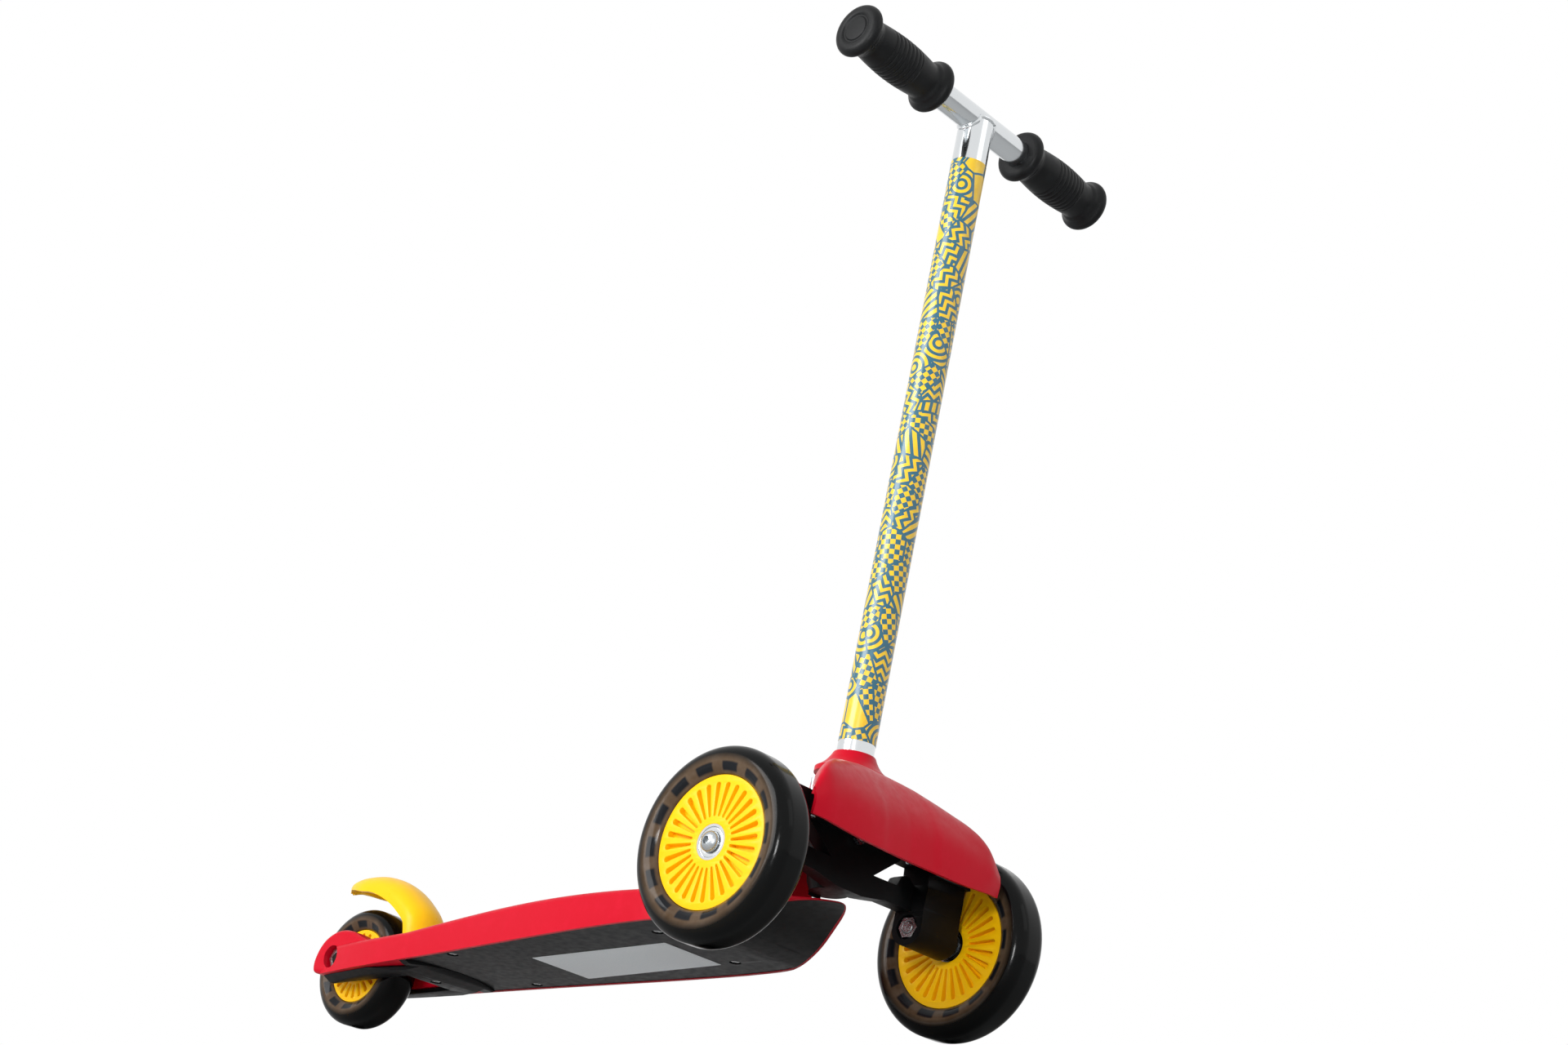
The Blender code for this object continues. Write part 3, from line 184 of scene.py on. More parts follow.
def moulded_plastic(name, colour, worn, roughness, grain, gleam=0.22):
    """Moulded plastic with a tool grain, faint flow marks and rubbed patches."""
    made, tree, shader = start_material(name, IOR=1.49, Specular_IOR_Level=gleam)
    where = add_node(tree, "TexCoord").outputs["Object"]
    flow = mottled(tree, where, FLOW_MARKS, (colour, worn), (0.3, 0.7), 0.16, 3.0)
    rubbed = mottled(tree, where, RUBBED_PATCHES, (flow, worn), (0.52, 0.74), 0.5, 5.0, 0.6)
    gloss = patches(tree, where, GLOSS_PATCHES, (0.3, 0.7), (roughness - 0.05, roughness + 0.07), 4.0)
    feed(tree, shader, Base_Color=rubbed, Roughness=gloss)
    skin(tree, shader, where, grain, 0.03 * MM, 0.5)
    return made


# The real tool grain is about 0.2 mm; it is drawn at 0.7 mm, so that it shows.
TOOL_GRAIN = 0.7 * MM
# A saturated red with a soft sheen, which turns pink where a lamp lies flat on it.
red_polypropylene = moulded_plastic("red_polypropylene", "#C60622", "#D0102E", 0.34, TOOL_GRAIN, 0.12)
# A warm opaque yellow that stays bright even in the slots.
yellow_polypropylene = moulded_plastic("yellow_polypropylene", "#FFC404", "#FFCC18", 0.32, TOOL_GRAIN)
print("moulded plastics:", red_polypropylene.name, yellow_polypropylene.name)

# %% [markdown]
# ## Glass-filled and plain nylon
# The fork and the plate under the deck are black nylon, stiffened with glass fibres, which
# also dull its skin: only edges and soft gleams show. The head's bushes are plain nylon,
# a milky white. Both are moulded in the same kind of tool, so they share its function.

# %% Nylons
# The grain of a worn tool is drawn at 0.8 mm, coarser than it is, so that it shows.
NYLON_GRAIN = 0.8 * MM
black_nylon = moulded_plastic("black_nylon", "#0E0F10", "#151617", 0.36, NYLON_GRAIN, 0.1)
white_nylon = moulded_plastic("white_nylon", "#D9D6CC", "#E0DDD4", 0.4, NYLON_GRAIN)
print("nylons:", black_nylon.name, white_nylon.name)

# %% [markdown]
# ## Grip rubber
# The grips are soft moulded rubber: nearly black, with a broad, dull sheen. Dust sits in
# its skin in patches, a little paler and duller than the rest.

# %% Grip rubber
DUST, RUBBER_GRAIN = 7 * MM, 0.6 * MM


def grip_rubber_material():
    """Soft black rubber with a dull sheen and a fine skin."""
    made, tree, shader = start_material("grip_rubber", IOR=1.52, Specular_IOR_Level=0.16)
    where = add_node(tree, "TexCoord").outputs["Object"]
    dusty = mottled(tree, where, DUST, ("#0F1011", "#1B1C1E"), (0.45, 0.75), 0.45, 5.0, 0.6)
    gloss = patches(tree, where, DUST, (0.45, 0.717), (0.40, 0.52), 5.0, 0.6)
    feed(tree, shader, Base_Color=dusty, Roughness=gloss)
    skin(tree, shader, where, RUBBER_GRAIN, 0.03 * MM, 0.5)
    return made


grip_rubber = grip_rubber_material()
print("rubber:", grip_rubber.name)

# %% [markdown]
# ## Tube, zinc and bearing steel
# The column and the crossbar are polished tube, and the small steel is zinc-plated or ground;
# the rear axle bolt's steel is painted dark, as painted shade for its deep hole in the lug.
# A metal's colour is its reflection, so its base stays pale and its roughness
# does the work: low for the polished tube, higher for zinc. Polishing leaves faint lines,
# which are noise that is stretched along the piece.

# %% Metals
def metal(name, colour, roughness, streak, stretch=1):
    """A metal with polishing lines along local Z; stretch is how long they are."""
    made, tree, shader = start_material(name, Metallic=1.0, Base_Color=hex_colour(colour))
    where = add_node(tree, "TexCoord").outputs["Object"]
    drawn = add_node(tree, "Mapping", None, {"Vector": where, "Scale": (1, 1, 1 / stretch)}).outputs[0]
    gloss = patches(tree, drawn, streak, (0.3, 0.7), (roughness - 0.03, roughness + 0.05), 3.0)
    feed(tree, shader, Roughness=gloss)
    skin(tree, shader, drawn, streak, 0.004 * MM, 0.3, 3.0)
    return made


# Sharp, long reflections that run the length of the tube.
polished_tube = metal("polished_tube", "#DADDDF", 0.13, 0.5 * MM, 24)
# Plating with a soft, slightly grey shine on bolts, nuts and spacers.
zinc_steel = metal("zinc_steel", "#B4B9BC", 0.26, 0.8 * MM)
# The deck's screws are bright new zinc, which reads as small white dots.
pale_zinc = metal("pale_zinc", "#F0F1F1", 0.26, 0.8 * MM)
# The rear bolt's steel is painted dark: painted shade for the deep hole round its head in the lug.
painted_shade_steel = metal("painted_shade_steel", "#2A2826", 0.26, 0.8 * MM)
# Ground bearing rings are brighter and sharper than plated steel.
ground_steel = metal("ground_steel", "#D6D9DB", 0.16, 0.6 * MM)
METALS = (polished_tube, zinc_steel, pale_zinc, painted_shade_steel, ground_steel)
print("metals:", [steel.name for steel in METALS])

# %% [markdown]
# ## Smoky cast polyurethane
# The tyres are cast from a clear, smoke-tinted urethane over the rim of the core. Near the
# hub the casting is thin enough to see the brown rim and its ring of dark windows through
# it; towards the tread it is deep and goes black. All of it lies under one glossy surface.
# Drawing the depth as colour rings keeps it clean in every view: the shader works out the
# radius and the angle round the axle from the piece's own coordinates. A run of
# arithmetic nodes, each taking the last one's answer, turns the angle into windows.

# %% Tyre material
WINDOW_BAND = (0.10, 0.38)
DEEP_BAND = (0.42, 0.66)
WINDOW_BLUR = 0.6 * MM


def formula(tree, value, *steps):
    """Run a value through arithmetic steps, each an operation with its second number."""
    for operation, second in steps:
        value = add_node(tree, "Math", {"operation": operation}, {0: value, 1: second}).outputs[0]
    return value


def cast_urethane(name, hub_r, wheel_r, windows):
    """Smoky urethane: a see-through band with windows inside, black towards the tread."""
    made, tree, shader = start_material(name, IOR=1.5, Specular_IOR_Level=0.1, Coat_Weight=0.05,
                                        Coat_Roughness=0.06)
    where = add_node(tree, "TexCoord").outputs["Object"]
    spot = add_node(tree, "SeparateXYZ", None, {0: where}).outputs
    flat = add_node(tree, "CombineXYZ", None, {0: spot[0], 1: spot[1]}).outputs[0]
    radius = add_node(tree, "VectorMath", {"operation": "LENGTH"}, {0: flat}).outputs["Value"]
    angle = add_node(tree, "Math", {"operation": "ARCTAN2"}, {0: spot[1], 1: spot[0]}).outputs[0]
    across = formula(tree, angle, ("MULTIPLY", windows / math.tau), ("PINGPONG", 0.5))
    band = wheel_r - hub_r
    low, high = [hub_r + share * band for share in WINDOW_BAND]
    above = {0: radius, 1: low - WINDOW_BLUR, 2: low + WINDOW_BLUR, 3: 0, 4: 1}
    below = {0: radius, 1: high - WINDOW_BLUR, 2: high + WINDOW_BLUR, 3: 1, 4: 0}
    beside = {0: across, 1: 0.27, 2: 0.34, 3: 1, 4: 0}
    edges = [add_node(tree, "MapRange", None, ends).outputs[0] for ends in (above, below, beside)]
    window = formula(tree, edges[0], ("MULTIPLY", edges[1]), ("MULTIPLY", edges[2]))
    rim = mottled(tree, where, 14 * MM, ("#4A3826", "#5E4F41"), (0.3, 0.7), 1.0, 4.0, 0.6)
    seen = {0: window, 6: rim, 7: hex_colour("#15171B")}
    seen = add_node(tree, "Mix", {"data_type": "RGBA"}, seen).outputs[2]
    deep = {0: radius, 1: hub_r + DEEP_BAND[0] * band, 2: hub_r + DEEP_BAND[1] * band, 3: 0, 4: 1}
    depth = add_node(tree, "MapRange", None, deep).outputs[0]
    base = {0: depth, 6: seen, 7: hex_colour("#060707")}
    base = add_node(tree, "Mix", {"data_type": "RGBA"}, base).outputs[2]
    scuffed = patches(tree, where, 3 * MM, (0.45, 0.8), (0.12, 0.3), 5.0, 0.7)
    feed(tree, shader, Base_Color=base, Roughness=scuffed)
    skin(tree, shader, where, 9 * MM, 0.05 * MM, 0.3, 1.0)
    return made


print("from hub to tread, windows lie between", WINDOW_BAND, "and black begins between", DEEP_BAND)

# %% [markdown]
# ## Printed vinyl
# The column wears a printed vinyl film: a crazy quilt of patches, each filled with checks,
# bars, zigzags or rings, in yellow on teal. A cell texture cuts the patches, and its
# random colour picks and turns each filling. The film's UVs are in metres, round the tube
# and along it, so that sizes stay true.

# %% Wrap material
PATCH, CHECK, BAR_PITCH, ZIGZAG, ZIGZAG_PITCH = 17 * MM, 3.4 * MM, 5.2 * MM, 4.5 * MM, 6.0 * MM


def stripes(tree, value, pitch, share):
    """Bars at a pitch; a share of each pitch stays clear."""
    return formula(tree, value, ("DIVIDE", pitch), ("FRACT", 0.0), ("GREATER_THAN", share))


def printed_vinyl_material():
    """A glossy film with patches of simple patterns in two inks."""
    made, tree, shader = start_material("printed_vinyl", Roughness=0.28, IOR=1.53, Coat_Weight=0.35,
                                        Coat_Roughness=0.12)
    uv = add_node(tree, "TexCoord").outputs["UV"]
    quilt = {"Vector": uv, "Scale": 1 / PATCH, "Randomness": 0.95}
    cells = add_node(tree, "TexVoronoi", {"voronoi_dimensions": "2D"}, quilt)
    edges = add_node(tree, "TexVoronoi", {"voronoi_dimensions": "2D", "feature": "DISTANCE_TO_EDGE"}, quilt)
    dice = add_node(tree, "SeparateColor", None, {0: cells.outputs["Color"]}).outputs
    turn = {"Vector": uv, "Angle": formula(tree, dice[0], ("MULTIPLY", math.tau))}
    turned = add_node(tree, "VectorRotate", {"rotation_type": "Z_AXIS"}, turn).outputs[0]
    lifted = add_node(tree, "Mapping", None, {"Vector": turned, "Location": (0, 0, MM)}).outputs[0]
    spot = add_node(tree, "SeparateXYZ", None, {0: turned}).outputs
    ink = add_node(tree, "TexChecker", None, {"Vector": lifted, "Scale": 1 / CHECK}).outputs["Fac"]
    bars = stripes(tree, spot[0], BAR_PITCH, 0.56)
    zigzags = stripes(tree, formula(tree, spot[0], ("PINGPONG", ZIGZAG), ("ADD", spot[1])), ZIGZAG_PITCH, 0.5)
    rings = stripes(tree, cells.outputs["Distance"], 0.26, 0.52)
    for threshold, filling in ((0.30, bars), (0.52, zigzags), (0.74, rings), (0.9, 0.0)):
        choice = {0: formula(tree, dice[1], ("GREATER_THAN", threshold)), 2: ink, 3: filling}
        ink = add_node(tree, "Mix", {"data_type": "FLOAT"}, choice).outputs[0]
    outline = formula(tree, edges.outputs["Distance"], ("LESS_THAN", 0.045))
    yellow = mottled(tree, uv, 6 * MM, ("#F7CB1E", "#EDBE20"), (0.35, 0.7), 1.0, 4.0)
    inks = {0: formula(tree, ink, ("MAXIMUM", outline)), 6: yellow, 7: hex_colour("#1F6178")}
    feed(tree, shader, Base_Color=add_node(tree, "Mix", {"data_type": "RGBA"}, inks).outputs[2])
    return made


printed_vinyl = printed_vinyl_material()
print("wrap:", printed_vinyl.name, "with patches of", round(1000 * PATCH), "mm")

# %% [markdown]
# ## Foil label
# The plate under the deck carries a blank label of metallised film. The metal is thin and
# lies under a matt coat, so it is less of a mirror than a tube: pale grey, with a blur.

# %% Label material
def label_foil_material():
    """A blank metallised film with a faint grain."""
    made, tree, shader = start_material("label_foil", Metallic=0.25, Roughness=0.35)
    where = add_node(tree, "TexCoord").outputs["Object"]
    pale = mottled(tree, where, 1.2 * MM, ("#EEF4F6", "#F8FBFC"), (0.35, 0.65), 1.0, 3.0)
    feed(tree, shader, Base_Color=pale)
    skin(tree, shader, where, 1.2 * MM, 0.03 * MM, 0.4, 3.0)
    return made


label_foil = label_foil_material()
print("label:", label_foil.name)

# %% [markdown]
# ## Outlines, plates and turned shapes
# Two ways of making a shape cover the wheels. A lathe turns a profile about an axle, and a
# plate is an outline with holes, thickness and rounded edges. Both start from a path of
# points, so a few helpers draw arcs and circles, run a smooth path through points and
# break a profile's corners.

# %% Paths
def arc(x, y, radius, start, end, steps):
    """Points along an arc, angles in degrees."""
    angles = [math.radians(start + (end - start) * i / steps) for i in range(steps + 1)]
    return [(x + radius * math.cos(t), y + radius * math.sin(t)) for t in angles]


def circle(radius, steps):
    """Points round a circle."""
    return [(radius * math.cos(math.tau * i / steps), radius * math.sin(math.tau * i / steps))
            for i in range(steps)]


def smooth(points, steps):
    """A smooth path that passes through every point."""
    points = [Vector(point) for point in points]
    path = []
    for i in range(len(points) - 1):
        before, start = points[max(i - 1, 0)], points[i]
        end, after = points[i + 1], points[min(i + 2, len(points) - 1)]
        for k in range(steps):
            t = k / steps
            path.append(0.5 * (2 * start + (end - before) * t
                               + (2 * before - 5 * start + 4 * end - after) * t ** 2
                               + (3 * start - before - 3 * end + after) * t ** 3))
    return [tuple(point) for point in path + [points[-1]]]


def eased(profile, radius, steps=4):
    """Round the corners of an open profile, as a tool's edge is broken."""
    points = [Vector(point) for point in profile]
    path = [points[0]]
    for before, corner, after in zip(points, points[1:], points[2:]):
        reach = min(radius, 0.45 * (before - corner).length, 0.45 * (after - corner).length)
        start = corner + (before - corner).normalized() * reach
        end = corner + (after - corner).normalized() * reach
        for k in range(steps + 1):
            t = k / steps
            path.append(start * (1 - t) ** 2 + corner * 2 * t * (1 - t) + end * t ** 2)
    return [tuple(point) for point in path + [points[-1]]]


print("a quarter round of 6 steps has", len(arc(0, 0, 1, 0, 90, 6)), "points")

# %% Turned and flat shapes
WELD = 0.002 * MM


def closed_mesh(name, bm, angle=32):
    """Weld, point the faces out and shade smooth, with sharp corners past an angle."""
    bmesh.ops.remove_doubles(bm, verts=bm.verts, dist=WELD)
    bmesh.ops.recalc_face_normals(bm, faces=bm.faces)
    mesh = bpy.data.meshes.new(name)
    bm.to_mesh(mesh)
    bm.free()
    mesh.shade_smooth()
    mesh.set_sharp_from_angle(angle=math.radians(angle))
    return mesh


def lathe(name, profile, steps=72, closed=False, angle=32):
    """Turn a profile of radius and height about Z."""
    bm = bmesh.new()
    points = [bm.verts.new((radius, 0, height)) for radius, height in profile]
    edges = [bm.edges.new(pair) for pair in zip(points, points[1:])]
    if closed:
        edges.append(bm.edges.new((points[-1], points[0])))
    bmesh.ops.spin(bm, geom=points + edges, cent=(0, 0, 0), axis=(0, 0, 1), angle=math.tau, steps=steps)
    return closed_mesh(name, bm, angle)


def as_mesh(holder):
    """The mesh of an object with its curve and modifiers applied; the object is removed."""
    scene.collection.objects.link(holder)
    bpy.context.view_layer.update()
    made = bpy.data.meshes.new_from_object(holder.evaluated_get(bpy.context.evaluated_depsgraph_get()))
    bpy.data.objects.remove(holder)
    return made


def plate(name, outlines, low, high, edge=0.0, rounds=3, angle=32):
    """A flat plate from closed outlines, the first outside and the rest holes."""
    curve = bpy.data.curves.new(name, "CURVE")
    curve.dimensions, curve.fill_mode = "2D", "BOTH"
    curve.extrude = (high - low) / 2 - edge
    curve.bevel_depth, curve.bevel_resolution, curve.offset = edge, rounds, -edge
    for outline in outlines:
        spline = curve.splines.new("POLY")
        spline.points.add(len(outline) - 1)
        for point, (x, y) in zip(spline.points, outline):
            point.co = (x, y, 0, 1)
        spline.use_cyclic_u = True
    bm = bmesh.new()
    bm.from_mesh(as_mesh(bpy.data.objects.new(name, curve)))
    bmesh.ops.translate(bm, verts=bm.verts, vec=(0, 0, (low + high) / 2))
    return closed_mesh(name, bm, angle)


# %% [markdown]
# ## Cutting and dressing
# Booleans cut one closed mesh with another or join the two. They ride on a modifier, which
# is applied at once, so that nothing is left to work out in the render. The last helper
# puts a finished mesh on the body that carries it and says which solids it stands for.

# %% Carving and dressing
def carved(name, base, steps, angle=32):
    """Cut and join meshes in order; each step is "cut" or "join" with a mesh."""
    body = bpy.data.objects.new(name, base)
    tools = []
    for action, tool_mesh in steps:
        tool = bpy.data.objects.new(name + "_tool", tool_mesh)
        scene.collection.objects.link(tool)
        tools.append(tool)
        step = body.modifiers.new(action, "BOOLEAN")
        step.operation = "DIFFERENCE" if action == "cut" else "UNION"
        step.solver = "MANIFOLD"
        step.object = tool
    made = as_mesh(body)
    for tool in tools:
        bpy.data.objects.remove(tool)
    made.shade_smooth()
    made.set_sharp_from_angle(angle=math.radians(angle))
    return made


def dress(name, mesh, material, body, nodes=(), place=None):
    """Put a mesh on a body as a named piece that stands for some CAD nodes."""
    piece = bpy.data.objects.new(name, mesh)
    scene.collection.objects.link(piece)
    piece.matrix_world = place or Matrix()
    mesh.materials.clear()
    mesh.materials.append(material)
    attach(piece, body)
    if nodes:
        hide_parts(*nodes)
    return piece


# %% [markdown]
# ## Tyres
# A cast tyre is fat and low: a short flank out of the rim, a broad round shoulder and a
# tread with a slight crown. Half the section is drawn and the other half mirrored, and
# the lathe turns it. Two of the three wheels are the same, so a small table holds what
# differs between them.

# %% Tyre shape
WHEEL_SPECS = {
    "left": {"side": 1, "slots": 28, "slot_start": 0.40, "windows": 14},
    "right": {"side": -1, "slots": 28, "slot_start": 0.40, "windows": 14},
    "rear": {"side": 1, "slots": 20, "slot_start": 0.54, "windows": 12},
}
HUB_FACE = 10.2 * MM
TYRE_HALF = 14.4 * MM
SHOULDER_R = 9.4 * MM


def tyre_mesh(name, hub_r, wheel_r):
    """A fat tyre section with a round shoulder and a slightly crowned tread."""
    flank = [(hub_r + 0.3 * MM, HUB_FACE - 0.3 * MM), (hub_r + 0.9 * MM, HUB_FACE + 0.9 * MM),
             (hub_r + 2.6 * MM, TYRE_HALF - 2.0 * MM), (hub_r + 5.0 * MM, TYRE_HALF - 0.7 * MM)]
    shoulder = arc(wheel_r - SHOULDER_R, TYRE_HALF - SHOULDER_R, SHOULDER_R, 90, 0, 14)
    side = smooth(flank + shoulder[:1], 3)[:-1] + shoulder
    return lathe(name, side + [(r, -h) for r, h in reversed(side)], 128, closed=True, angle=50)


print("tyres are", round(2000 * TYRE_HALF, 1), "mm wide")

# %% [markdown]
# ## Wheel cores
# The core is a thick yellow disc with a fan of tapered slots and a seat for the bearings.
# It is one plate with holes, so that each slot is a real opening; the small rounding of
# its edges is what catches the light. A thinner web closes the slots halfway down.

# %% Core shape
BEARING_R = 11 * MM
POCKET_DEPTH = 4.5 * MM
SLOT_END, WEB_END = 0.865, 0.95
SLOT_SHARE_INSIDE, SLOT_SHARE_OUTSIDE = 0.21, 0.225


def core_mesh(name, hub_r, slots, slot_start):
    """The wheel core: a thick disc with tapered, round-ended slots and a bearing seat."""
    outlines = [circle(hub_r, 144)]
    pitch = math.tau / slots
    low, high = slot_start * hub_r, SLOT_END * hub_r
    inner, outer = SLOT_SHARE_INSIDE * low * pitch, SLOT_SHARE_OUTSIDE * high * pitch
    ends = arc(low, 0, inner, 270, 90, 4)[::-1] + arc(high - outer * 0.4, 0, outer, -72, 72, 5)
    for i in range(slots):
        along = Vector((math.cos(i * pitch), math.sin(i * pitch)))
        across = Vector((-along.y, along.x))
        outlines.append([tuple(along * x + across * y) for x, y in ends])
    outlines.append(circle(BEARING_R + 0.05 * MM, 64))
    spokes = plate(name, outlines, -HUB_FACE, HUB_FACE, edge=0.35 * MM, rounds=1, angle=40)
    floor, inside, outside = HUB_FACE - POCKET_DEPTH, BEARING_R + 2 * MM, WEB_END * hub_r
    web = [(outside, -floor), (outside, floor), (inside, floor), (inside, -floor)]
    return carved(name, spokes, [("join", lathe("web", web, 144, closed=True))], angle=40)


print("cores are", round(2000 * HUB_FACE, 1), "mm thick, pockets", round(1000 * POCKET_DEPTH, 1), "mm deep")

# %% [markdown]
# ## Ball bearings
# A shielded ball bearing is pressed into each face of the core. What shows is the flat
# face of its two rings and the pressed shield between them, which lies a little deeper.

# %% Bearing shape
BEARING_BORE, BEARING_WIDE = 4.3 * MM, 7 * MM


def bearing_mesh(name):
    """A ball bearing with a pressed shield; its face lies in the plane of the hub."""
    face = HUB_FACE - 0.2 * MM
    back, shield = face - BEARING_WIDE, face - 0.45 * MM
    rings = [(BEARING_R, face), (BEARING_R, back), (BEARING_BORE, back), (BEARING_BORE, face)]
    cap = [(6.1 * MM, face), (6.2 * MM, shield - 0.4 * MM), (6.5 * MM, shield),
           (9.0 * MM, shield + 0.1 * MM), (9.3 * MM, shield - 0.5 * MM), (9.6 * MM, face)]
    return lathe(name, eased(rings + cap, 0.25 * MM, 2), 72, closed=True)


print("bearings are", round(2000 * BEARING_R, 1), "mm across and", round(1000 * BEARING_WIDE, 1), "mm wide")

# %% [markdown]
# ## Three wheels
# Each wheel is drawn flat about Z and then laid on its axle. The inner bearing is the
# outer one turned over.

# %% Wheels on their axles
for name, spec in WHEEL_SPECS.items():
    tyre, hub, body = name + "_tyre", name + "_hub", name + "_wheel"
    hub_r, wheel_r = radius_of(hub), radius_of(tyre)
    place = Matrix.Translation(middle_of(tyre)) @ OUTWARD[spec["side"]]
    urethane = cast_urethane("cast_urethane_" + name, hub_r, wheel_r, spec["windows"])
    dress(tyre + "_cast", tyre_mesh(tyre, hub_r, wheel_r), urethane, body, [tyre], place)
    core = core_mesh(hub, hub_r, spec["slots"], spec["slot_start"])
    dress(hub + "_core", core, yellow_polypropylene, body, [hub], place)
    for part, face in (("outer", Matrix()), ("inner", Matrix.Rotation(math.pi, 4, "X"))):
        node = name + "_" + part + "_bearing"
        dress(node + "_race", bearing_mesh(node), ground_steel, body, [node], place @ face)
    print(name, "wheel:", round(2000 * wheel_r, 1), "mm across, hub", round(2000 * hub_r, 1), "mm")

# %% [markdown]
# ## Axle bolts
# Each wheel turns on a button-head bolt. The head is a low dome with a hexagon socket,
# and it is the brightest small thing on the wheel, so it gets real curvature. A lathe with
# six steps makes the hexagon. Front bolts steer with the fork, the rear one stays with
# the deck.

# %% Axle bolts
BOLT_R, BUTTON_R, BUTTON_HEIGHT = 4 * MM, 6.5 * MM, 4.2 * MM
SOCKET_R = 2.6 * MM


def button_bolt(name, seat, tip):
    """A button-head bolt that points down Z, with a hexagon socket in its dome."""
    rim = 0.5 * MM
    dome = [(BUTTON_R * math.cos(a), seat + rim + (BUTTON_HEIGHT - rim) * math.sin(a))
            for a in [math.radians(90 - 7.5 * i) for i in range(13)]]
    shank = [(BUTTON_R, seat), (BOLT_R, seat), (BOLT_R, tip + rim), (BOLT_R - rim, tip), (0, tip)]
    above, floor, point = [seat + share * BUTTON_HEIGHT for share in (2, 0.42, 0.3)]
    socket = lathe("socket", [(0, above), (SOCKET_R, above), (SOCKET_R, floor), (0, point)], 6)
    return carved(name, lathe(name, dome + shank, 48), [("cut", socket)])


def reach(node, matrix):
    """Lowest and highest local height of a node along a matrix's Z."""
    inverse = matrix.inverted()
    heights = [(inverse @ vertex.co).z for vertex in frame["nodes"][node].data.vertices]
    return min(heights), max(heights)


for name, spec in WHEEL_SPECS.items():
    node = name + "_axle_bolt"
    place = Matrix.Translation(middle_of(name + "_tyre")) @ OUTWARD[spec["side"]]
    tip, top = reach(node, place)
    # The rear bolt takes the darkened steel, which is painted shade for the deep hole round its head.
    steel, body = (painted_shade_steel, "deck") if name == "rear" else (zinc_steel, "steering")
    bolt = button_bolt(node, top - BUTTON_HEIGHT, tip)
    dress(node + "_button", bolt, steel, body, [node], place)
    print(node, round(1000 * (top - tip), 1), "mm long")

# %% [markdown]
# ## Nuts, spacers and pins
# The small steel pieces keep the frame's own shape, because it is already right. Only
# their edges are broken with a bevel, as the real ones are, so that they catch a line of
# light. The frame's record says which body carries each of them.

# %% Small steel
def softened(node, width, angle=35, steps=()):
    """A CAD node's own shape, cut where its form goes further, with its edges broken."""
    bm = bmesh.new()
    bm.from_mesh(frame["nodes"][node].data)
    shape = carved(node, closed_mesh(node, bm), steps)
    bm = bmesh.new()
    bm.from_mesh(shape)
    bmesh.ops.remove_doubles(bm, verts=bm.verts, dist=WELD)
    bmesh.ops.dissolve_limit(bm, angle_limit=math.radians(0.5), verts=bm.verts, edges=bm.edges)
    holder = bpy.data.objects.new(node + "_soft", closed_mesh(node + "_soft", bm, angle))
    step = holder.modifiers.new("edges", "BEVEL")
    step.width, step.segments, step.limit_method = width, 2, "ANGLE"
    step.angle_limit, step.harden_normals = math.radians(angle), True
    return as_mesh(holder)


SMALL_STEEL = ["left_axle_nut", "right_axle_nut", "rear_axle_nut", "left_wheel_spacer",
               "right_wheel_spacer", "rear_left_spacer", "rear_right_spacer", "left_bearing_sleeve",
               "right_bearing_sleeve", "rear_bearing_sleeve", "column_bolt", "column_nut", "brake_pin"]
members = frame["record"]["behaviour"]["bodies"]
for node in SMALL_STEEL:
    body = next(name for name, nodes in members.items() if node in nodes)
    dress(node + "_finished", softened(node, 0.25 * MM), zinc_steel, body, [node])
print("small steel dressed:", len(SMALL_STEEL))

# %% [markdown]
# ## Cross-recess screws
# Five screws hold the plate and two hold the cover. They have a pan head with a cross
# recess, which is two small blocks cut from a turned head. They point up, and those of the
# plate stand square to it.

# %% Screws
SCREW_R, PAN_R, PAN_HEIGHT = 1.9 * MM, 3.8 * MM, 1.4 * MM
CROSS_LONG, CROSS_WIDE, CROSS_DEEP = 2.3 * MM, 0.45 * MM, 0.9 * MM


def block(name, low, high):
    """A box between two corners."""
    bm = bmesh.new()
    bmesh.ops.create_cube(bm, size=1)
    low, high = Vector(low), Vector(high)
    bmesh.ops.scale(bm, verts=bm.verts, vec=high - low)
    bmesh.ops.translate(bm, verts=bm.verts, vec=(low + high) / 2)
    return closed_mesh(name, bm)


def cross_screw(node, place):
    """A pan-head screw that points up, with a cross recess, as long as its node."""
    low, high = reach(node, place)
    seat = low + PAN_HEIGHT
    pan = [(PAN_R * math.cos(a), seat - 0.2 * MM - 1.2 * MM * math.sin(a))
           for a in [math.radians(12 * i) for i in range(7)]]
    profile = [(0, high), (SCREW_R, high), (SCREW_R, seat), (PAN_R, seat)] + pan + [(0, low)]
    slots = [block("slot", (-x, -y, low - MM), (x, y, low + CROSS_DEEP))
             for x, y in ((CROSS_LONG, CROSS_WIDE), (CROSS_WIDE, CROSS_LONG))]
    return carved(node, lathe(node, profile, 40), [("cut", slot) for slot in slots])


screws = [("deck_screw_" + str(i + 1), DECK_TILT, pale_zinc, "deck") for i in range(5)]
screws += [(side + "_cover_screw", Matrix(), zinc_steel, "steering") for side in ("left", "right")]
for node, turn, steel, body in screws:
    place = Matrix.Translation(middle_of(node)) @ turn
    dress(node + "_cross", cross_screw(node, place), steel, body, [node], place)
print("screws dressed:", len(screws))

# %% [markdown]
# ## Column
# The column is a polished tube whose top is coped: cut to the round of the crossbar, so
# that the two meet all round. Lifting each point of the tube's top ring to the bar's
# surface makes the cope without any cutting.

# %% Column
COLUMN_R = 12.0 * MM
BAR_R = 9.5 * MM
TUBE_WALL = 1.5 * MM
BAR_AT = 507.8 * MM
ROUND = 96


def cope(angle, radius):
    """Height where a tube's wall meets the crossbar, at an angle round the tube."""
    across = min(abs(radius * math.cos(angle)), BAR_R)
    return BAR_AT - math.sqrt(BAR_R ** 2 - across ** 2) - 0.2 * MM


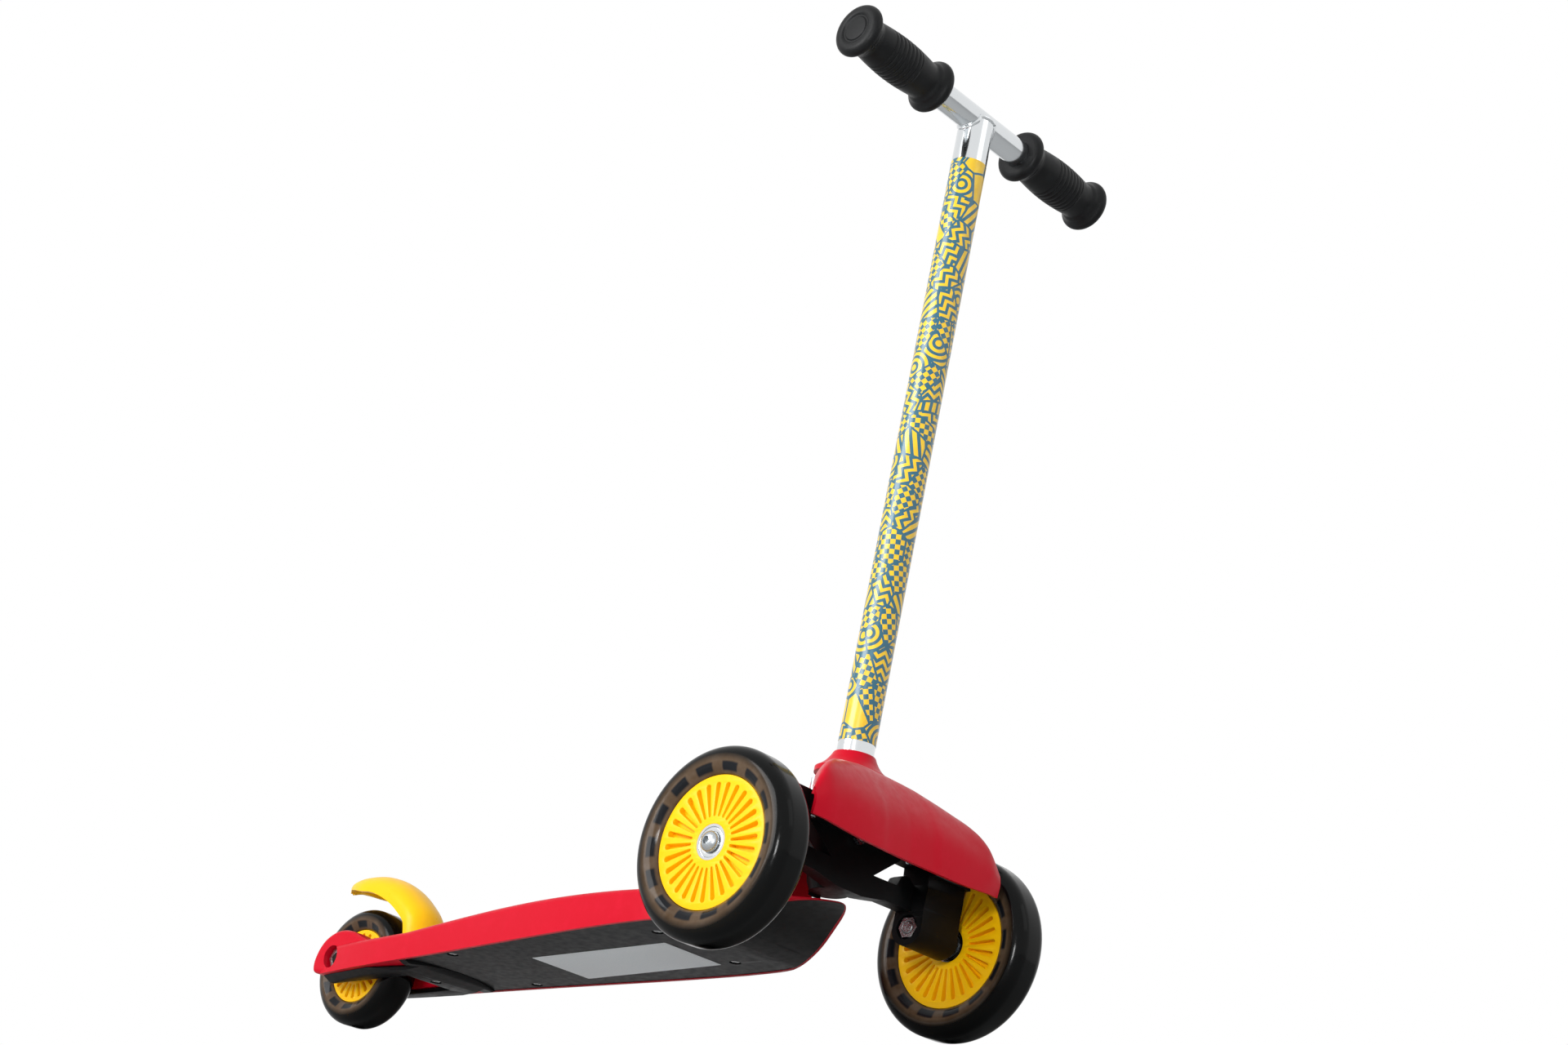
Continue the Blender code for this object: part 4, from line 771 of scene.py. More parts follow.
def column_mesh():
    """The tube, inside and outside, from its lower end to the coped top."""
    low = reach("steering_column", COLUMN)[0]
    inside = COLUMN_R - TUBE_WALL
    angles = [math.tau * i / ROUND for i in range(ROUND)]
    bm = bmesh.new()
    levels = [(inside, None), (inside, low), (COLUMN_R, low), (COLUMN_R, 300 * MM), (COLUMN_R, None)]
    rings = []
    for radius, height in levels:
        rings.append([bm.verts.new((radius * math.cos(a), radius * math.sin(a),
                                    cope(a, radius) if height is None else height)) for a in angles])
    for row, following in zip(rings, rings[1:] + rings[:1]):
        for i in range(ROUND):
            j = (i + 1) % ROUND
            bm.faces.new((row[i], row[j], following[j], following[i]))
    return closed_mesh("column", bm)


dress("column_tube", column_mesh(), polished_tube, "steering", ["steering_column"], COLUMN)
print("cope is", round(1000 * (cope(math.pi / 2, 0) - cope(0, COLUMN_R)), 1), "mm deep")

# %% [markdown]
# ## Crossbar and weld
# The crossbar is a straight tube across the top. The joint is welded and polished over,
# so the weld is a low, slightly rippled bead that follows the line of the cope. A curve
# with a round bevel makes any such bead or wire.

# %% Crossbar and weld
BAR_TURN = COLUMN @ Matrix.Translation((0, 0, BAR_AT)) @ OUTWARD[1]
BAR_HALF = reach("crossbar", BAR_TURN)[1]
BEAD_R, RIPPLE, RIPPLES = 1.5 * MM, 0.12 * MM, 24


def wire(name, points, radius, loop=False):
    """A round wire or bead that runs through points."""
    curve = bpy.data.curves.new(name, "CURVE")
    curve.dimensions = "3D"
    curve.bevel_depth, curve.bevel_resolution, curve.use_fill_caps = radius, 4, True
    spline = curve.splines.new("POLY")
    spline.points.add(len(points) - 1)
    for point, spot in zip(spline.points, points):
        point.co = (*spot, 1)
    spline.use_cyclic_u = loop
    bm = bmesh.new()
    bm.from_mesh(as_mesh(bpy.data.objects.new(name, curve)))
    return closed_mesh(name, bm, 60)


def weld_mesh():
    """The polished weld between the column and the crossbar."""
    points = []
    for i in range(ROUND):
        angle, radius = math.tau * i / ROUND, COLUMN_R - 0.3 * MM
        height = cope(angle, COLUMN_R) - 0.4 * MM + RIPPLE * math.sin(RIPPLES * angle)
        points.append((radius * math.cos(angle), radius * math.sin(angle), height))
    return wire("weld", points, BEAD_R, loop=True)


inside = BAR_R - TUBE_WALL
bar = [(BAR_R, BAR_HALF), (BAR_R, -BAR_HALF), (inside, -BAR_HALF), (inside, BAR_HALF)]
dress("crossbar_tube", lathe("bar", bar, ROUND, closed=True), polished_tube, "steering",
      ["crossbar"], BAR_TURN)
dress("column_weld", weld_mesh(), polished_tube, "steering", place=COLUMN)
print("crossbar is", round(2000 * BAR_HALF, 1), "mm long")

# %% [markdown]
# ## Wrap
# The vinyl film lies just off the tube. Its UVs are worked out from the angle round the
# tube and the height along it, in metres, so the pattern keeps its size.

# %% Wrap
WRAP_LOW, WRAP_HIGH, WRAP_ROWS = 62.0 * MM, 474.5 * MM, 60


def wrap_mesh():
    """The vinyl wrap: a skin just off the tube, with UVs in metres."""
    radius = COLUMN_R + 0.12 * MM
    step = (WRAP_HIGH - WRAP_LOW) / WRAP_ROWS
    mesh = lathe("wrap", [(radius, WRAP_HIGH - step * i) for i in range(WRAP_ROWS + 1)], ROUND)
    uv = mesh.uv_layers.new(name="metres")
    for face in mesh.polygons:
        middle = math.atan2(face.center.y, face.center.x)
        for loop in face.loop_indices:
            spot = mesh.vertices[mesh.loops[loop].vertex_index].co
            angle = math.atan2(spot.y, spot.x)
            angle += math.tau * round((middle - angle) / math.tau)
            uv.data[loop].uv = (angle * radius, spot.z)
    return mesh


dress("column_wrap", wrap_mesh(), printed_vinyl, "steering", place=COLUMN)
print("wrap is", round(1000 * (WRAP_HIGH - WRAP_LOW), 1), "mm long")

# %% [markdown]
# ## Grips
# A grip is a rubber sleeve: a barrel that swells in the middle for the palm, with soft
# rings round it, between two mushroom flanges that keep the hand on and protect it. The
# outer end is closed by a disc with a ring groove. One lathe profile holds all of it.

# %% Grips
FLANGE_R, FLANGE, STEP_R, BARREL_R = 18.6 * MM, 9 * MM, 16.2 * MM, 13.4 * MM
SWELL_HEIGHT, RING_DEPTH, RINGS, BARREL_STEPS = 2.0 * MM, 0.75 * MM, 7, 98
RINGS_FROM, RINGS_TO = 0.2, 0.7


def barrel_path(top, bottom):
    """The barrel between the flanges, with soft rings on its inner half."""
    path = []
    for i in range(BARREL_STEPS + 1):
        along = i / BARREL_STEPS
        swell = SWELL_HEIGHT * math.sin(math.pi * along)
        phase = RINGS * (along - RINGS_FROM) / (RINGS_TO - RINGS_FROM)
        ring = 0.5 + 0.5 * math.cos(math.tau * phase) if RINGS_FROM <= along <= RINGS_TO else 0
        path.append((BARREL_R + swell - RING_DEPTH * ring ** 3, top - along * (top - bottom)))
    return path


def grip_mesh(name, low, high):
    """A rubber grip from its inner end at low to its closed outer end at high."""
    end = [(0, high - 0.2 * MM), (8.4 * MM, high - 0.2 * MM), (8.9 * MM, high - 1.0 * MM),
           (10.3 * MM, high - 1.0 * MM), (11.0 * MM, high)]
    outer = [(FLANGE_R - 4.2 * MM, high), (FLANGE_R - 1.9 * MM, high - 0.9 * MM),
             (FLANGE_R - 0.5 * MM, high - 2.6 * MM), (FLANGE_R, high - 4.6 * MM),
             (FLANGE_R - 0.5 * MM, high - 6.4 * MM), (FLANGE_R - 1.9 * MM, high - 8 * MM),
             (STEP_R - 0.6 * MM, high - FLANGE - 0.6 * MM), (STEP_R - 1.3 * MM, high - FLANGE - 2.2 * MM),
             (BARREL_R + 0.1 * MM, high - FLANGE - 4.2 * MM)]
    inner = [(r, low + high - h) for r, h in reversed(outer)]
    barrel = barrel_path(high - FLANGE - 6 * MM, low + FLANGE + 6 * MM)
    bore, stop = BAR_R + 0.1 * MM, BAR_HALF + 0.4 * MM
    profile = eased(end, 0.5 * MM, 3)[:-1] + smooth([end[-1]] + outer, 4)[1:] + barrel + smooth(inner, 4)
    return lathe(name, profile + [(bore, low), (bore, stop), (0, stop)], ROUND, angle=40)


for side, name in ((1, "left_grip"), (-1, "right_grip")):
    place = COLUMN @ Matrix.Translation((0, 0, BAR_AT)) @ OUTWARD[side]
    low, high = reach(name, place)
    dress(name + "_rubber", grip_mesh(name, low, high), grip_rubber, "steering", [name], place)
    print(name, round(1000 * (high - low), 1), "mm long")

# %% [markdown]
# ## Sheets and lofts
# The cover and the fender are thin moulded shells. Both are drawn as an open sheet through
# rows of points, and Solidify gives the sheet its wall. Boxes, rods and lofts then join
# them or cut them, each put in its place by a matrix.

# %% Sheets
def in_mm(points):
    """Points written in millimetres."""
    return [tuple(value * MM for value in point) for point in points]


def placed(mesh, matrix):
    """Move a mesh, and hand it back."""
    mesh.transform(matrix)
    return mesh


def rod(name, radius, low, high, steps=48):
    """A round bar about Z."""
    return lathe(name, [(0, high), (radius, high), (radius, low), (0, low)], steps)


def loft(name, rows, closed_rows=True, angle=32):
    """A skin through rows of as many points each, capped where the rows are closed."""
    bm = bmesh.new()
    made = [[bm.verts.new(point) for point in row] for row in rows]
    for row, following in zip(made, made[1:]):
        count = len(row) if closed_rows else len(row) - 1
        for i in range(count):
            j = (i + 1) % len(row)
            bm.faces.new((row[i], row[j], following[j], following[i]))
    if closed_rows:
        bm.faces.new(made[0])
        bm.faces.new(made[-1])
    return closed_mesh(name, bm, angle)


def walled(name, sheet, thickness):
    """An open sheet with a wall that grows inwards from its outer skin."""
    top = max(sheet.polygons, key=lambda face: face.center.z)
    if top.normal.z < 0:
        sheet.flip_normals()
    holder = bpy.data.objects.new(name, sheet)
    wall = holder.modifiers.new("wall", "SOLIDIFY")
    wall.thickness, wall.offset, wall.use_even_offset = thickness, -1, True
    return as_mesh(holder)


# %% [markdown]
# ## Head cover
# The red cover is a shield over the fork. Its section changes from a steep hood at the
# column to a low, round-nosed wing over each wheel, so it is drawn as a loft: eight
# points from the rear edge over the top to the lip, at seven stations across, made smooth
# both ways. A collar with a soft flare stands up round the column.

# %% Head cover
COVER_STATIONS = [
    (0, [(-31, 134), (-30, 138), (-24, 142), (-3, 143.8), (19, 138.5), (35, 123), (45, 104), (47, 81)]),
    (20, [(-20.5, 132.5), (-19.3, 136.8), (-13.5, 140.8), (3, 142),
          (22.5, 136.5), (36.5, 121.8), (46, 103.5), (47.6, 80.9)]),
    (30, [(-11.5, 121), (-10, 131), (-4, 137.5), (9, 139.5),
          (26, 134), (39, 119.5), (47.3, 102.5), (48.2, 80.8)]),
    (50, [(6, 117), (8, 125), (14, 131), (22.5, 132.8), (32.5, 128), (42, 116), (48.5, 101), (48.5, 81)]),
    (68, [(23, 109), (25, 117), (29.5, 122.8), (35, 124.5),
          (40.5, 119.5), (45.3, 111), (49, 98.5), (48.4, 82)]),
    (80, [(34, 103), (35.6, 109.5), (38.5, 114), (41.5, 115),
          (44.5, 112), (47, 106), (49, 96.5), (47.8, 83)]),
    (90.4, [(43, 96), (43.6, 98.6), (44.5, 100), (45.5, 99.5),
            (46.6, 97.6), (47.2, 95), (47.4, 91), (46, 83.5)]),
]
COVER_WALL = 2.4 * MM


def cover_sheet():
    """The cover's outer skin, as rows from rear edge to lip, far end to near end."""
    tracks = []
    for k in range(len(COVER_STATIONS[0][1])):
        tracks.append(smooth([(points[k][0], y, points[k][1]) for y, points in COVER_STATIONS], 6))
    half = [in_mm(smooth([track[i] for track in tracks], 6)) for i in range(len(tracks[0]))]
    other = [[(x, -y, z) for x, y, z in row] for row in reversed(half[1:])]
    return loft("cover", other + half, closed_rows=False, angle=60)


def cover_mesh():
    """The skin with its wall, the collar and the hole for the column."""
    shell = placed(walled("cover", cover_sheet(), COVER_WALL), FORK)
    flare = smooth([(13.8, 54), (15, 51.6), (17.4, 48), (20.4, 45), (23.5, 42.8)], 4)
    section = in_mm([(12.3, 54.6), (13.3, 54.6)] + flare + [(23.5, 39.5), (12.3, 39.5)])
    collar = placed(lathe("collar", section, 72, closed=True), COLUMN)
    hole = placed(rod("hole", COLUMN_R + 0.3 * MM, 32 * MM, 80 * MM, 72), COLUMN)
    return carved("cover", shell, [("join", collar), ("cut", hole)], angle=45)


dress("head_cover_shell", cover_mesh(), red_polypropylene, "steering", ["head_cover"])

# %% [markdown]
# ## Fork
# The fork is one black nylon moulding. It starts from its frame shape and is cut further:
# prisms through the side and the front view make its legs and struts slimmer and open its
# windows, and turned cutters leave a round boss on each leg and round the foot. Broken
# edges then catch the gleams.

# %% Prisms
def along_x(name, outline, low, high):
    """A prism from an outline in Y and Z, from a low to a high X."""
    turn = Matrix(((0, 0, 1, 0), (1, 0, 0, 0), (0, 1, 0, 0), (0, 0, 0, 1)))
    return placed(plate(name, [in_mm(outline)], low * MM, high * MM), turn)


def along_y(name, outline, low, high):
    """A prism from an outline in X and Z, from a low to a high Y."""
    return placed(plate(name, [in_mm(outline)], -high * MM, -low * MM), Matrix.Rotation(math.pi / 2, 4, "X"))


# %% Fork
LEG_IN, LEG_OUT, BOSS_AT = 60.3, 103, 101.5
STRUT_FRONT, TOWER_R = 2.5, 14.6


def leg_cuts(side):
    """What one leg loses: everything round its slim shape and round the axle's boss."""
    leg = [(-30, 92), (-30, 30), (30, 30), (30, 92), (14, 92), (13.6, 84), (12.4, 72)]
    leg += arc(0, 60, 12, 350, 190, 24) + [(-10.6, 70), (-9, 84), (-8.6, 92)]
    low, high = sorted((side * LEG_IN, side * LEG_OUT))
    axis = Matrix.Translation(FRONT_AXLE + Vector((0, side * BOSS_AT * MM, 0))) @ OUTWARD[side]
    around = lathe("around", in_mm([(9.5, -4), (9.5, 1.2), (50, 1.2), (50, -4)]), 96, closed=True)
    return [("cut", placed(along_y("leg", leg, low, high), FORK)), ("cut", placed(around, axis))]


def fork_cuts():
    """What the moulding loses: slim legs with a boss, thin struts, a round tower and foot."""
    under = [(60.4, 55), (60.4, 69.8), (34, 69.4), (22, 67.2), (12, 65.6)]
    under += [(-y, z) for y, z in reversed(under)]
    front = block("front", (STRUT_FRONT * MM, -LEG_IN * MM, 55 * MM), (26 * MM, LEG_IN * MM, 98.3 * MM))
    tower = placed(rod("tower", TOWER_R * MM, -60 * MM, 20 * MM, 72), COLUMN)
    foot = in_mm([(26, -40), (26, -4), (19.8, -4), (18.4, -12), (16.2, -22), (14.4, -30), (12.5, -34),
                  (12.5, -40)])
    foot = placed(lathe("foot", foot, 96, closed=True), COLUMN)
    slab = placed(block("slab", (-8.3 * MM, -100 * MM, 0), (14.3 * MM, 100 * MM, 200 * MM)), FORK)
    steps = [("cut", placed(along_x("under", under, -26, 26), FORK)),
             ("cut", carved("front", placed(front, FORK), [("cut", tower)]))]
    return steps + leg_cuts(1) + leg_cuts(-1) + [("cut", carved("foot", foot, [("cut", slab)]))]


fork = softened("front_fork", 0.7 * MM, steps=fork_cuts())
dress("front_fork_moulding", fork, black_nylon, "steering", ["front_fork"])
print("fork faces:", len(fork.polygons))

# %% [markdown]
# ## Bushes and spring
# The two bushes keep their frame shape, and the brake's torsion spring is drawn as what it
# is: a round wire, wound four times round the pin, whose two legs press on the deck and on
# the fender.

# %% Bushes and spring
SPRING_R, SPRING_WIRE, SPRING_TURNS, SPRING_GAP = 3.8 * MM, 0.7 * MM, 4, 0.5 * MM
SPRING_LEG = 5.9 * MM
POINTS_A_TURN = 24


def spring_mesh():
    """The torsion spring on the brake pin, with a leg at each end."""
    pitch = 2 * SPRING_WIRE + SPRING_GAP
    half = SPRING_TURNS * pitch / 2
    points = [(SPRING_LEG, -half, -SPRING_R - 3.0 * MM)]
    for i in range(SPRING_TURNS * POINTS_A_TURN + 1):
        turn, along = -math.pi / 2 + math.tau * i / POINTS_A_TURN, -half + pitch * i / POINTS_A_TURN
        points.append((SPRING_R * math.cos(turn), along, SPRING_R * math.sin(turn)))
    points.append((SPRING_LEG, half, -SPRING_R - 1.0 * MM))
    return wire("spring", points, SPRING_WIRE)


for node in ("upper_head_bush", "lower_head_bush"):
    dress(node + "_nylon", softened(node, 0.3 * MM), white_nylon, "deck", [node])
dress("brake_spring_wire", spring_mesh(), zinc_steel, "deck", ["brake_spring"],
      Matrix.Translation(HINGE))
print("spring turns:", SPRING_TURNS)

# %% [markdown]
# ## Plank
# The deck is one big moulding: a plank with a skirt, two arms beside the rear wheel with
# a lug on each, and a neck that carries the head ring. The plank is a plate with round
# edges. Its left edge is one smooth path from the nose to the end of the arm, and moving
# that path inwards gives the hollow, the bow and the plate their outlines too.

# %% Plank outline
DECK_SIDE = in_mm([(250, 0), (247.5, 6), (238, 16), (221, 28.5), (202, 41), (183, 51.5), (166, 59.5),
                   (148, 64), (124, 64.8), (100, 64), (50, 60.3), (-50, 50.3), (-150, 41.5), (-203, 34.6)])
ARM_END = -203 * MM
SLOT_FRONT, SLOT_HALF, SLOT_CORNER = -126 * MM, 19 * MM, 1.2 * MM
SKIRT, RIM, TOP_WALL = 19.5 * MM, 2.6 * MM, 3.2 * MM
HOLLOW_BACK = -110 * MM


def deck_side(inset):
    """The plank's left edge from the nose to the end of the arm, moved in by an inset."""
    across_nose = [(DECK_SIDE[1][0], -DECK_SIDE[1][1])]
    path = [Vector(point) for point in smooth(across_nose + DECK_SIDE, 10)[10:]]
    moved = []
    for i, point in enumerate(path):
        ahead = path[min(i + 1, len(path) - 1)] - path[max(i - 1, 0)]
        along = ahead.normalized() if i else Vector((0, 1))
        moved.append((point.x - along.y * inset, point.y + along.x * inset))
    return moved


def mirrored(half):
    """Close a half outline across Y = 0."""
    return half + [(x, -y) for x, y in reversed(half) if abs(y) > 0.3 * MM]


def plank_outline():
    """The closed outline of the plank with its arms and the gap for the rear wheel."""
    side = [(x, y) for x, y in deck_side(0) if x > ARM_END + 4 * MM]
    corner = arc(SLOT_FRONT - SLOT_CORNER, SLOT_HALF - SLOT_CORNER, SLOT_CORNER, 90, 0, 6)
    return mirrored(side + [(ARM_END, side[-1][1] - MM), (ARM_END, SLOT_HALF)] + corner + [(SLOT_FRONT, 0)])


def hollow_outline():
    """The hollow under the plank."""
    inner = [(x, y) for x, y in deck_side(RIM) if x > HOLLOW_BACK]
    return mirrored(inner + [(HOLLOW_BACK, inner[-1][1]), (HOLLOW_BACK, 0)])


print("plank outline:", len(plank_outline()), "points, hollow:", len(hollow_outline()))

# %% [markdown]
# ## Arch of the top
# The top of the plank isn't flat. It rises a few millimetres in the middle, which
# stiffens the thin moulding and shows in side view. The flat plate is cut into strips
# across, and the points of its top are then lifted along a half sine.

# %% Arch
ARCH_BACK, ARCH_FRONT, ARCH_RISE = -105 * MM, 165 * MM, 5.2 * MM
EDGE_ROUND = 4 * MM


def arch_height(x):
    """How far the top of the plank is raised at a place along it."""
    along = min(max((x - ARCH_BACK) / (ARCH_FRONT - ARCH_BACK), 0), 1)
    return ARCH_RISE * math.sin(math.pi * along)


def arched(mesh, steps=27):
    """The plank with its top raised in a shallow arch."""
    bm = bmesh.new()
    bm.from_mesh(mesh)
    for i in range(steps + 1):
        x = ARCH_BACK + (ARCH_FRONT - ARCH_BACK) * i / steps
        bmesh.ops.bisect_plane(bm, geom=bm.verts[:] + bm.edges[:] + bm.faces[:], dist=0.001 * MM,
                               plane_co=(x, 0, 0), plane_no=(1, 0, 0))
    for vertex in bm.verts:
        if vertex.co.z > SKIRT - EDGE_ROUND - 0.1 * MM:
            vertex.co.z += arch_height(vertex.co.x)
    return closed_mesh("plank", bm)


print("arch rises", round(1000 * arch_height((ARCH_BACK + ARCH_FRONT) / 2), 1), "mm")

# %% [markdown]
# ## Lugs and neck
# Each arm ends in a rounded lug that holds the rear axle: an outline in side view with
# thickness and soft edges. The neck is a loft. Its sections start wide on the plank and
# go up, back and forth with the column's lean, to the ring that holds the bushes.

# %% Lugs and neck
LUG_OUT, LUG_EDGE = 35.2 * MM, 3 * MM


def lug_mesh(side):
    """The rounded lug at an arm's end that holds the rear axle."""
    outline = smooth(in_mm([(46, 39), (46, 51), (36, 52.3), (26, 56), (17, 59.7), (8, 61.2), (-1, 60.3),
                            (-10, 56), (-16, 49.5), (-19.4, 41.5), (-19.6, 35), (-17, 31.6), (-8, 30.4)]), 5)
    outline = [(REAR_AXLE.x + x, z) for x, z in outline + in_mm([(25, 31.2)])]
    low, high = sorted((side * SLOT_HALF, side * LUG_OUT))
    return placed(plate("lug", [outline], -high, -low, LUG_EDGE, 5), Matrix.Rotation(math.pi / 2, 4, "X"))


def neck_mesh():
    """The neck that rises from the deck behind the fork to the head ring."""
    levels = [(52, -132, -42, 19, 40), (58, -114, -42, 18.5, 33), (70, -90, -42, 18, 27),
              (90, -71, -41, 18, 23.5), (108, -60, -39.5, 18.5, 22), (115, -56, -32, 19, 21.5),
              (126, -49, -26, 18.5, 20), (130.5, -42, -26, 16, 17)]
    sections = []
    for z, back, front, front_half, half in smooth(levels, 5):
        round_back, corner = 0.45 * half, 4
        quarter = (arc(front - corner, front_half - corner, corner, 0, 90, 6)
                   + arc(back + round_back, half - round_back, round_back, 80, 180, 14))
        outline = quarter + [(x, -y) for x, y in reversed(quarter) if y > 0]
        sections.append([(x * MM, y * MM, z * MM) for x, y in outline])
    return placed(loft("neck", sections, angle=50), FORK)


print("lugs", round(2000 * LUG_OUT, 1), "mm apart, outside to outside")

# %% [markdown]
# ## Swept nose
# Seen from the side, the nose sweeps up like a boat's bow. The space under the sweep is a
# prism. It cuts the red plank, the black bow inside it and the plate, each at a hair's
# different height, so that no two faces lie in one plane. The bow is drawn 2 mm in from
# the edge, which leaves a thin red rim round it.

# %% Bow
BOW_BACK = 150
BOW_SWEEP = [(157, -0.4), (168, 1), (180, 3), (190, 5.2), (200, 8), (210, 11.2), (220, 14), (230, 16.3),
             (240, 17.7), (256, 18.3)]
UNDERSIDE = 0.33 * MM


def bow_cutter(lift=0.0):
    """The space under the swept nose of the deck."""
    path = smooth([(x, z + lift) for x, z in BOW_SWEEP], 4)
    return placed(along_y("bow", [(path[0][0], -20)] + path + [(path[-1][0], -20)], -90, 90), DECK)


def bow_mesh():
    """The black bow that fills the deck's nose down to the swept underside."""
    side = [(x, y) for x, y in deck_side(2.0 * MM) if x > BOW_BACK * MM]
    outline = mirrored(side + [(BOW_BACK * MM, side[-1][1]), (BOW_BACK * MM, 0)])
    solid = placed(plate("bow", [outline], UNDERSIDE, SKIRT - MM), DECK)
    return carved("bow", solid, [("cut", bow_cutter(0.1))])


print("nose sweeps up", BOW_SWEEP[-1][1], "mm over its last", BOW_SWEEP[-1][0] - BOW_SWEEP[0][0], "mm")

# %% [markdown]
# ## Whole deck
# The plank is arched first, then hollowed from below and joined to its lugs, neck and
# head ring. The holes come last: the column's bore, the axle's hole with room for the
# bolt's head in each lug, and the brake's pin. Grooves across the top keep a shoe from
# slipping; each follows the arch and stays clear of the edges.

# %% Deck
RING_R, RING_SPAN = 24 * MM, (12.8 * MM, 32 * MM)
BORE_R, BORE_SPAN = 14.3 * MM, (7.8 * MM, 37 * MM)
AXLE_HOLE_R, HEAD_ROOM_R, HEAD_ROOM_AT, PAST = 4.3 * MM, 8.2 * MM, 25.2 * MM, 50 * MM
PIN_R, PIN_HALF = 3 * MM, 27.3 * MM
GROOVES, GROOVE_PITCH, GROOVE_WIDE, GROOVE_DEEP = 11, 18 * MM, 3 * MM, 0.8 * MM
GROOVE_BACK, GROOVE_MARGIN = -84 * MM, 13 * MM


def half_width(x):
    """Half width of the plank at a place along it."""
    side = deck_side(0)
    for (x1, y1), (x2, y2) in zip(side, side[1:]):
        if x2 <= x <= x1:
            return y1 + (y2 - y1) * (x1 - x) / (x1 - x2)
    return side[-1][1]


def groove(i):
    """The space of one groove across the top."""
    x = GROOVE_BACK + GROOVE_PITCH * i
    half = half_width(x) - GROOVE_MARGIN
    top = SKIRT + arch_height(x + GROOVE_WIDE / 2)
    return placed(block("groove", (x, -half, top - GROOVE_DEEP), (x + GROOVE_WIDE, half, top + MM)), DECK)


def deck_mesh():
    """The plank, hollowed and joined to its lugs, neck and head ring, with its holes."""
    plank = placed(arched(plate("plank", [plank_outline()], -8 * MM, SKIRT, EDGE_ROUND, 5)), DECK)
    under = block("under", (-300 * MM, -100 * MM, -50 * MM), (300 * MM, 100 * MM, 0))
    hollow = plate("hollow", [hollow_outline()], -5 * MM, SKIRT - TOP_WALL)
    rear, hinge = [Matrix.Translation(place) @ OUTWARD[1] for place in (REAR_AXLE, HINGE)]
    steps = [("cut", placed(under, DECK)), ("cut", placed(hollow, DECK)),
             ("join", lug_mesh(1)), ("join", lug_mesh(-1)), ("join", neck_mesh()),
             ("join", placed(rod("ring", RING_R, *RING_SPAN, 96), COLUMN)),
             ("cut", placed(rod("bore", BORE_R, *BORE_SPAN, 72), COLUMN)),
             ("cut", placed(rod("axle", AXLE_HOLE_R, -PAST, PAST), rear)),
             ("cut", placed(rod("left_hole", HEAD_ROOM_R, HEAD_ROOM_AT, PAST, 64), rear)),
             ("cut", placed(rod("right_hole", HEAD_ROOM_R, -PAST, -HEAD_ROOM_AT, 64), rear)),
             ("cut", placed(rod("pin", PIN_R, -PIN_HALF, PIN_HALF), hinge)), ("cut", bow_cutter(0.25))]
    return carved("deck", plank, steps + [("cut", groove(i)) for i in range(GROOVES)], angle=40)


dress("deck_moulding", deck_mesh(), red_polypropylene, "deck", ["deck"])
dress("bottom_cover_bow", bow_mesh(), black_nylon, "deck")

# %% [markdown]
# ## Plate under the deck
# The plate keeps its frame shape, with two cuts. The nose takes the bow's sweep, and the
# thick end under the arms, which is a plain step in the frame, swells softly from the
# plate: what is cut is a block less a loft whose rows draw in and back as they go down.

# %% Plate
BRACKET_FRONT, BRACKET_BACK, BRACKET_HALF = -92 * MM, -220 * MM, 80 * MM
SWELL = [(0.2, 2.4, 0), (-0.6, 4, 3), (-1.8, 6.5, 9), (-3.2, 9, 18), (-4.4, 11.5, 30), (-8, 16, 50)]


def bracket_trim():
    """The space round the thick end under the arms."""
    edge = [x for x, y in deck_side(0)]
    rows = []
    for z, inset, back in SWELL:
        front = BRACKET_FRONT - back * MM
        side = [(min(x, front), y) for (x, y), at in zip(deck_side(inset * MM), edge) if at < BRACKET_FRONT]
        rows.append([(x, y, z * MM) for x, y in mirrored(side + [(BRACKET_BACK, side[-1][1])])])
    low, high = (BRACKET_BACK + 5 * MM, -BRACKET_HALF, -7 * MM), (BRACKET_FRONT + 10 * MM, BRACKET_HALF, 0)
    return placed(carved("trim", block("trim", low, high), [("cut", loft("swell", rows))]), DECK)


under_plate = softened("bottom_cover", 0.4 * MM, steps=[("cut", bow_cutter()), ("cut", bracket_trim())])
dress("bottom_cover_plate", under_plate, black_nylon, "deck", ["bottom_cover"])
print("plate faces:", len(under_plate.polygons))

# %% [markdown]
# ## Label
# The blank foil label is a thin plate with round corners, stuck on the underside.

# %% Label
LABEL_AT = (18.1 * MM, 10.7 * MM)
LABEL_HALF = (61 * MM, 27.25 * MM)
LABEL_CORNER = MM
LABEL_THICK = 0.12 * MM


def label_outline():
    """A rectangle with rounded corners."""
    x, y = [half - LABEL_CORNER for half in LABEL_HALF]
    turns = ((x, y, 0), (-x, y, 90), (-x, -y, 180), (x, -y, 270))
    return [point for cx, cy, start in turns for point in arc(cx, cy, LABEL_CORNER, start, start + 90, 4)]


label_place = DECK @ Matrix.Translation((LABEL_AT[0] - DECK.translation.x, LABEL_AT[1], UNDERSIDE))
label = plate("label", [label_outline()], -LABEL_THICK / 2, LABEL_THICK / 2)
dress("blank_label", label, label_foil, "deck", place=label_place)
print("label:", [round(2000 * half, 1) for half in LABEL_HALF], "mm")

# %% [markdown]
# ## Brake fender
# The fender is a yellow arched shell with a pointed tail. Its crown is one smooth curve
# in side view; at each point of it a shallow arch runs across, square to the curve, and
# the arch narrows to nothing at the tail. Two hinge barrels stand at its root, with a gap
# between them for the spring.

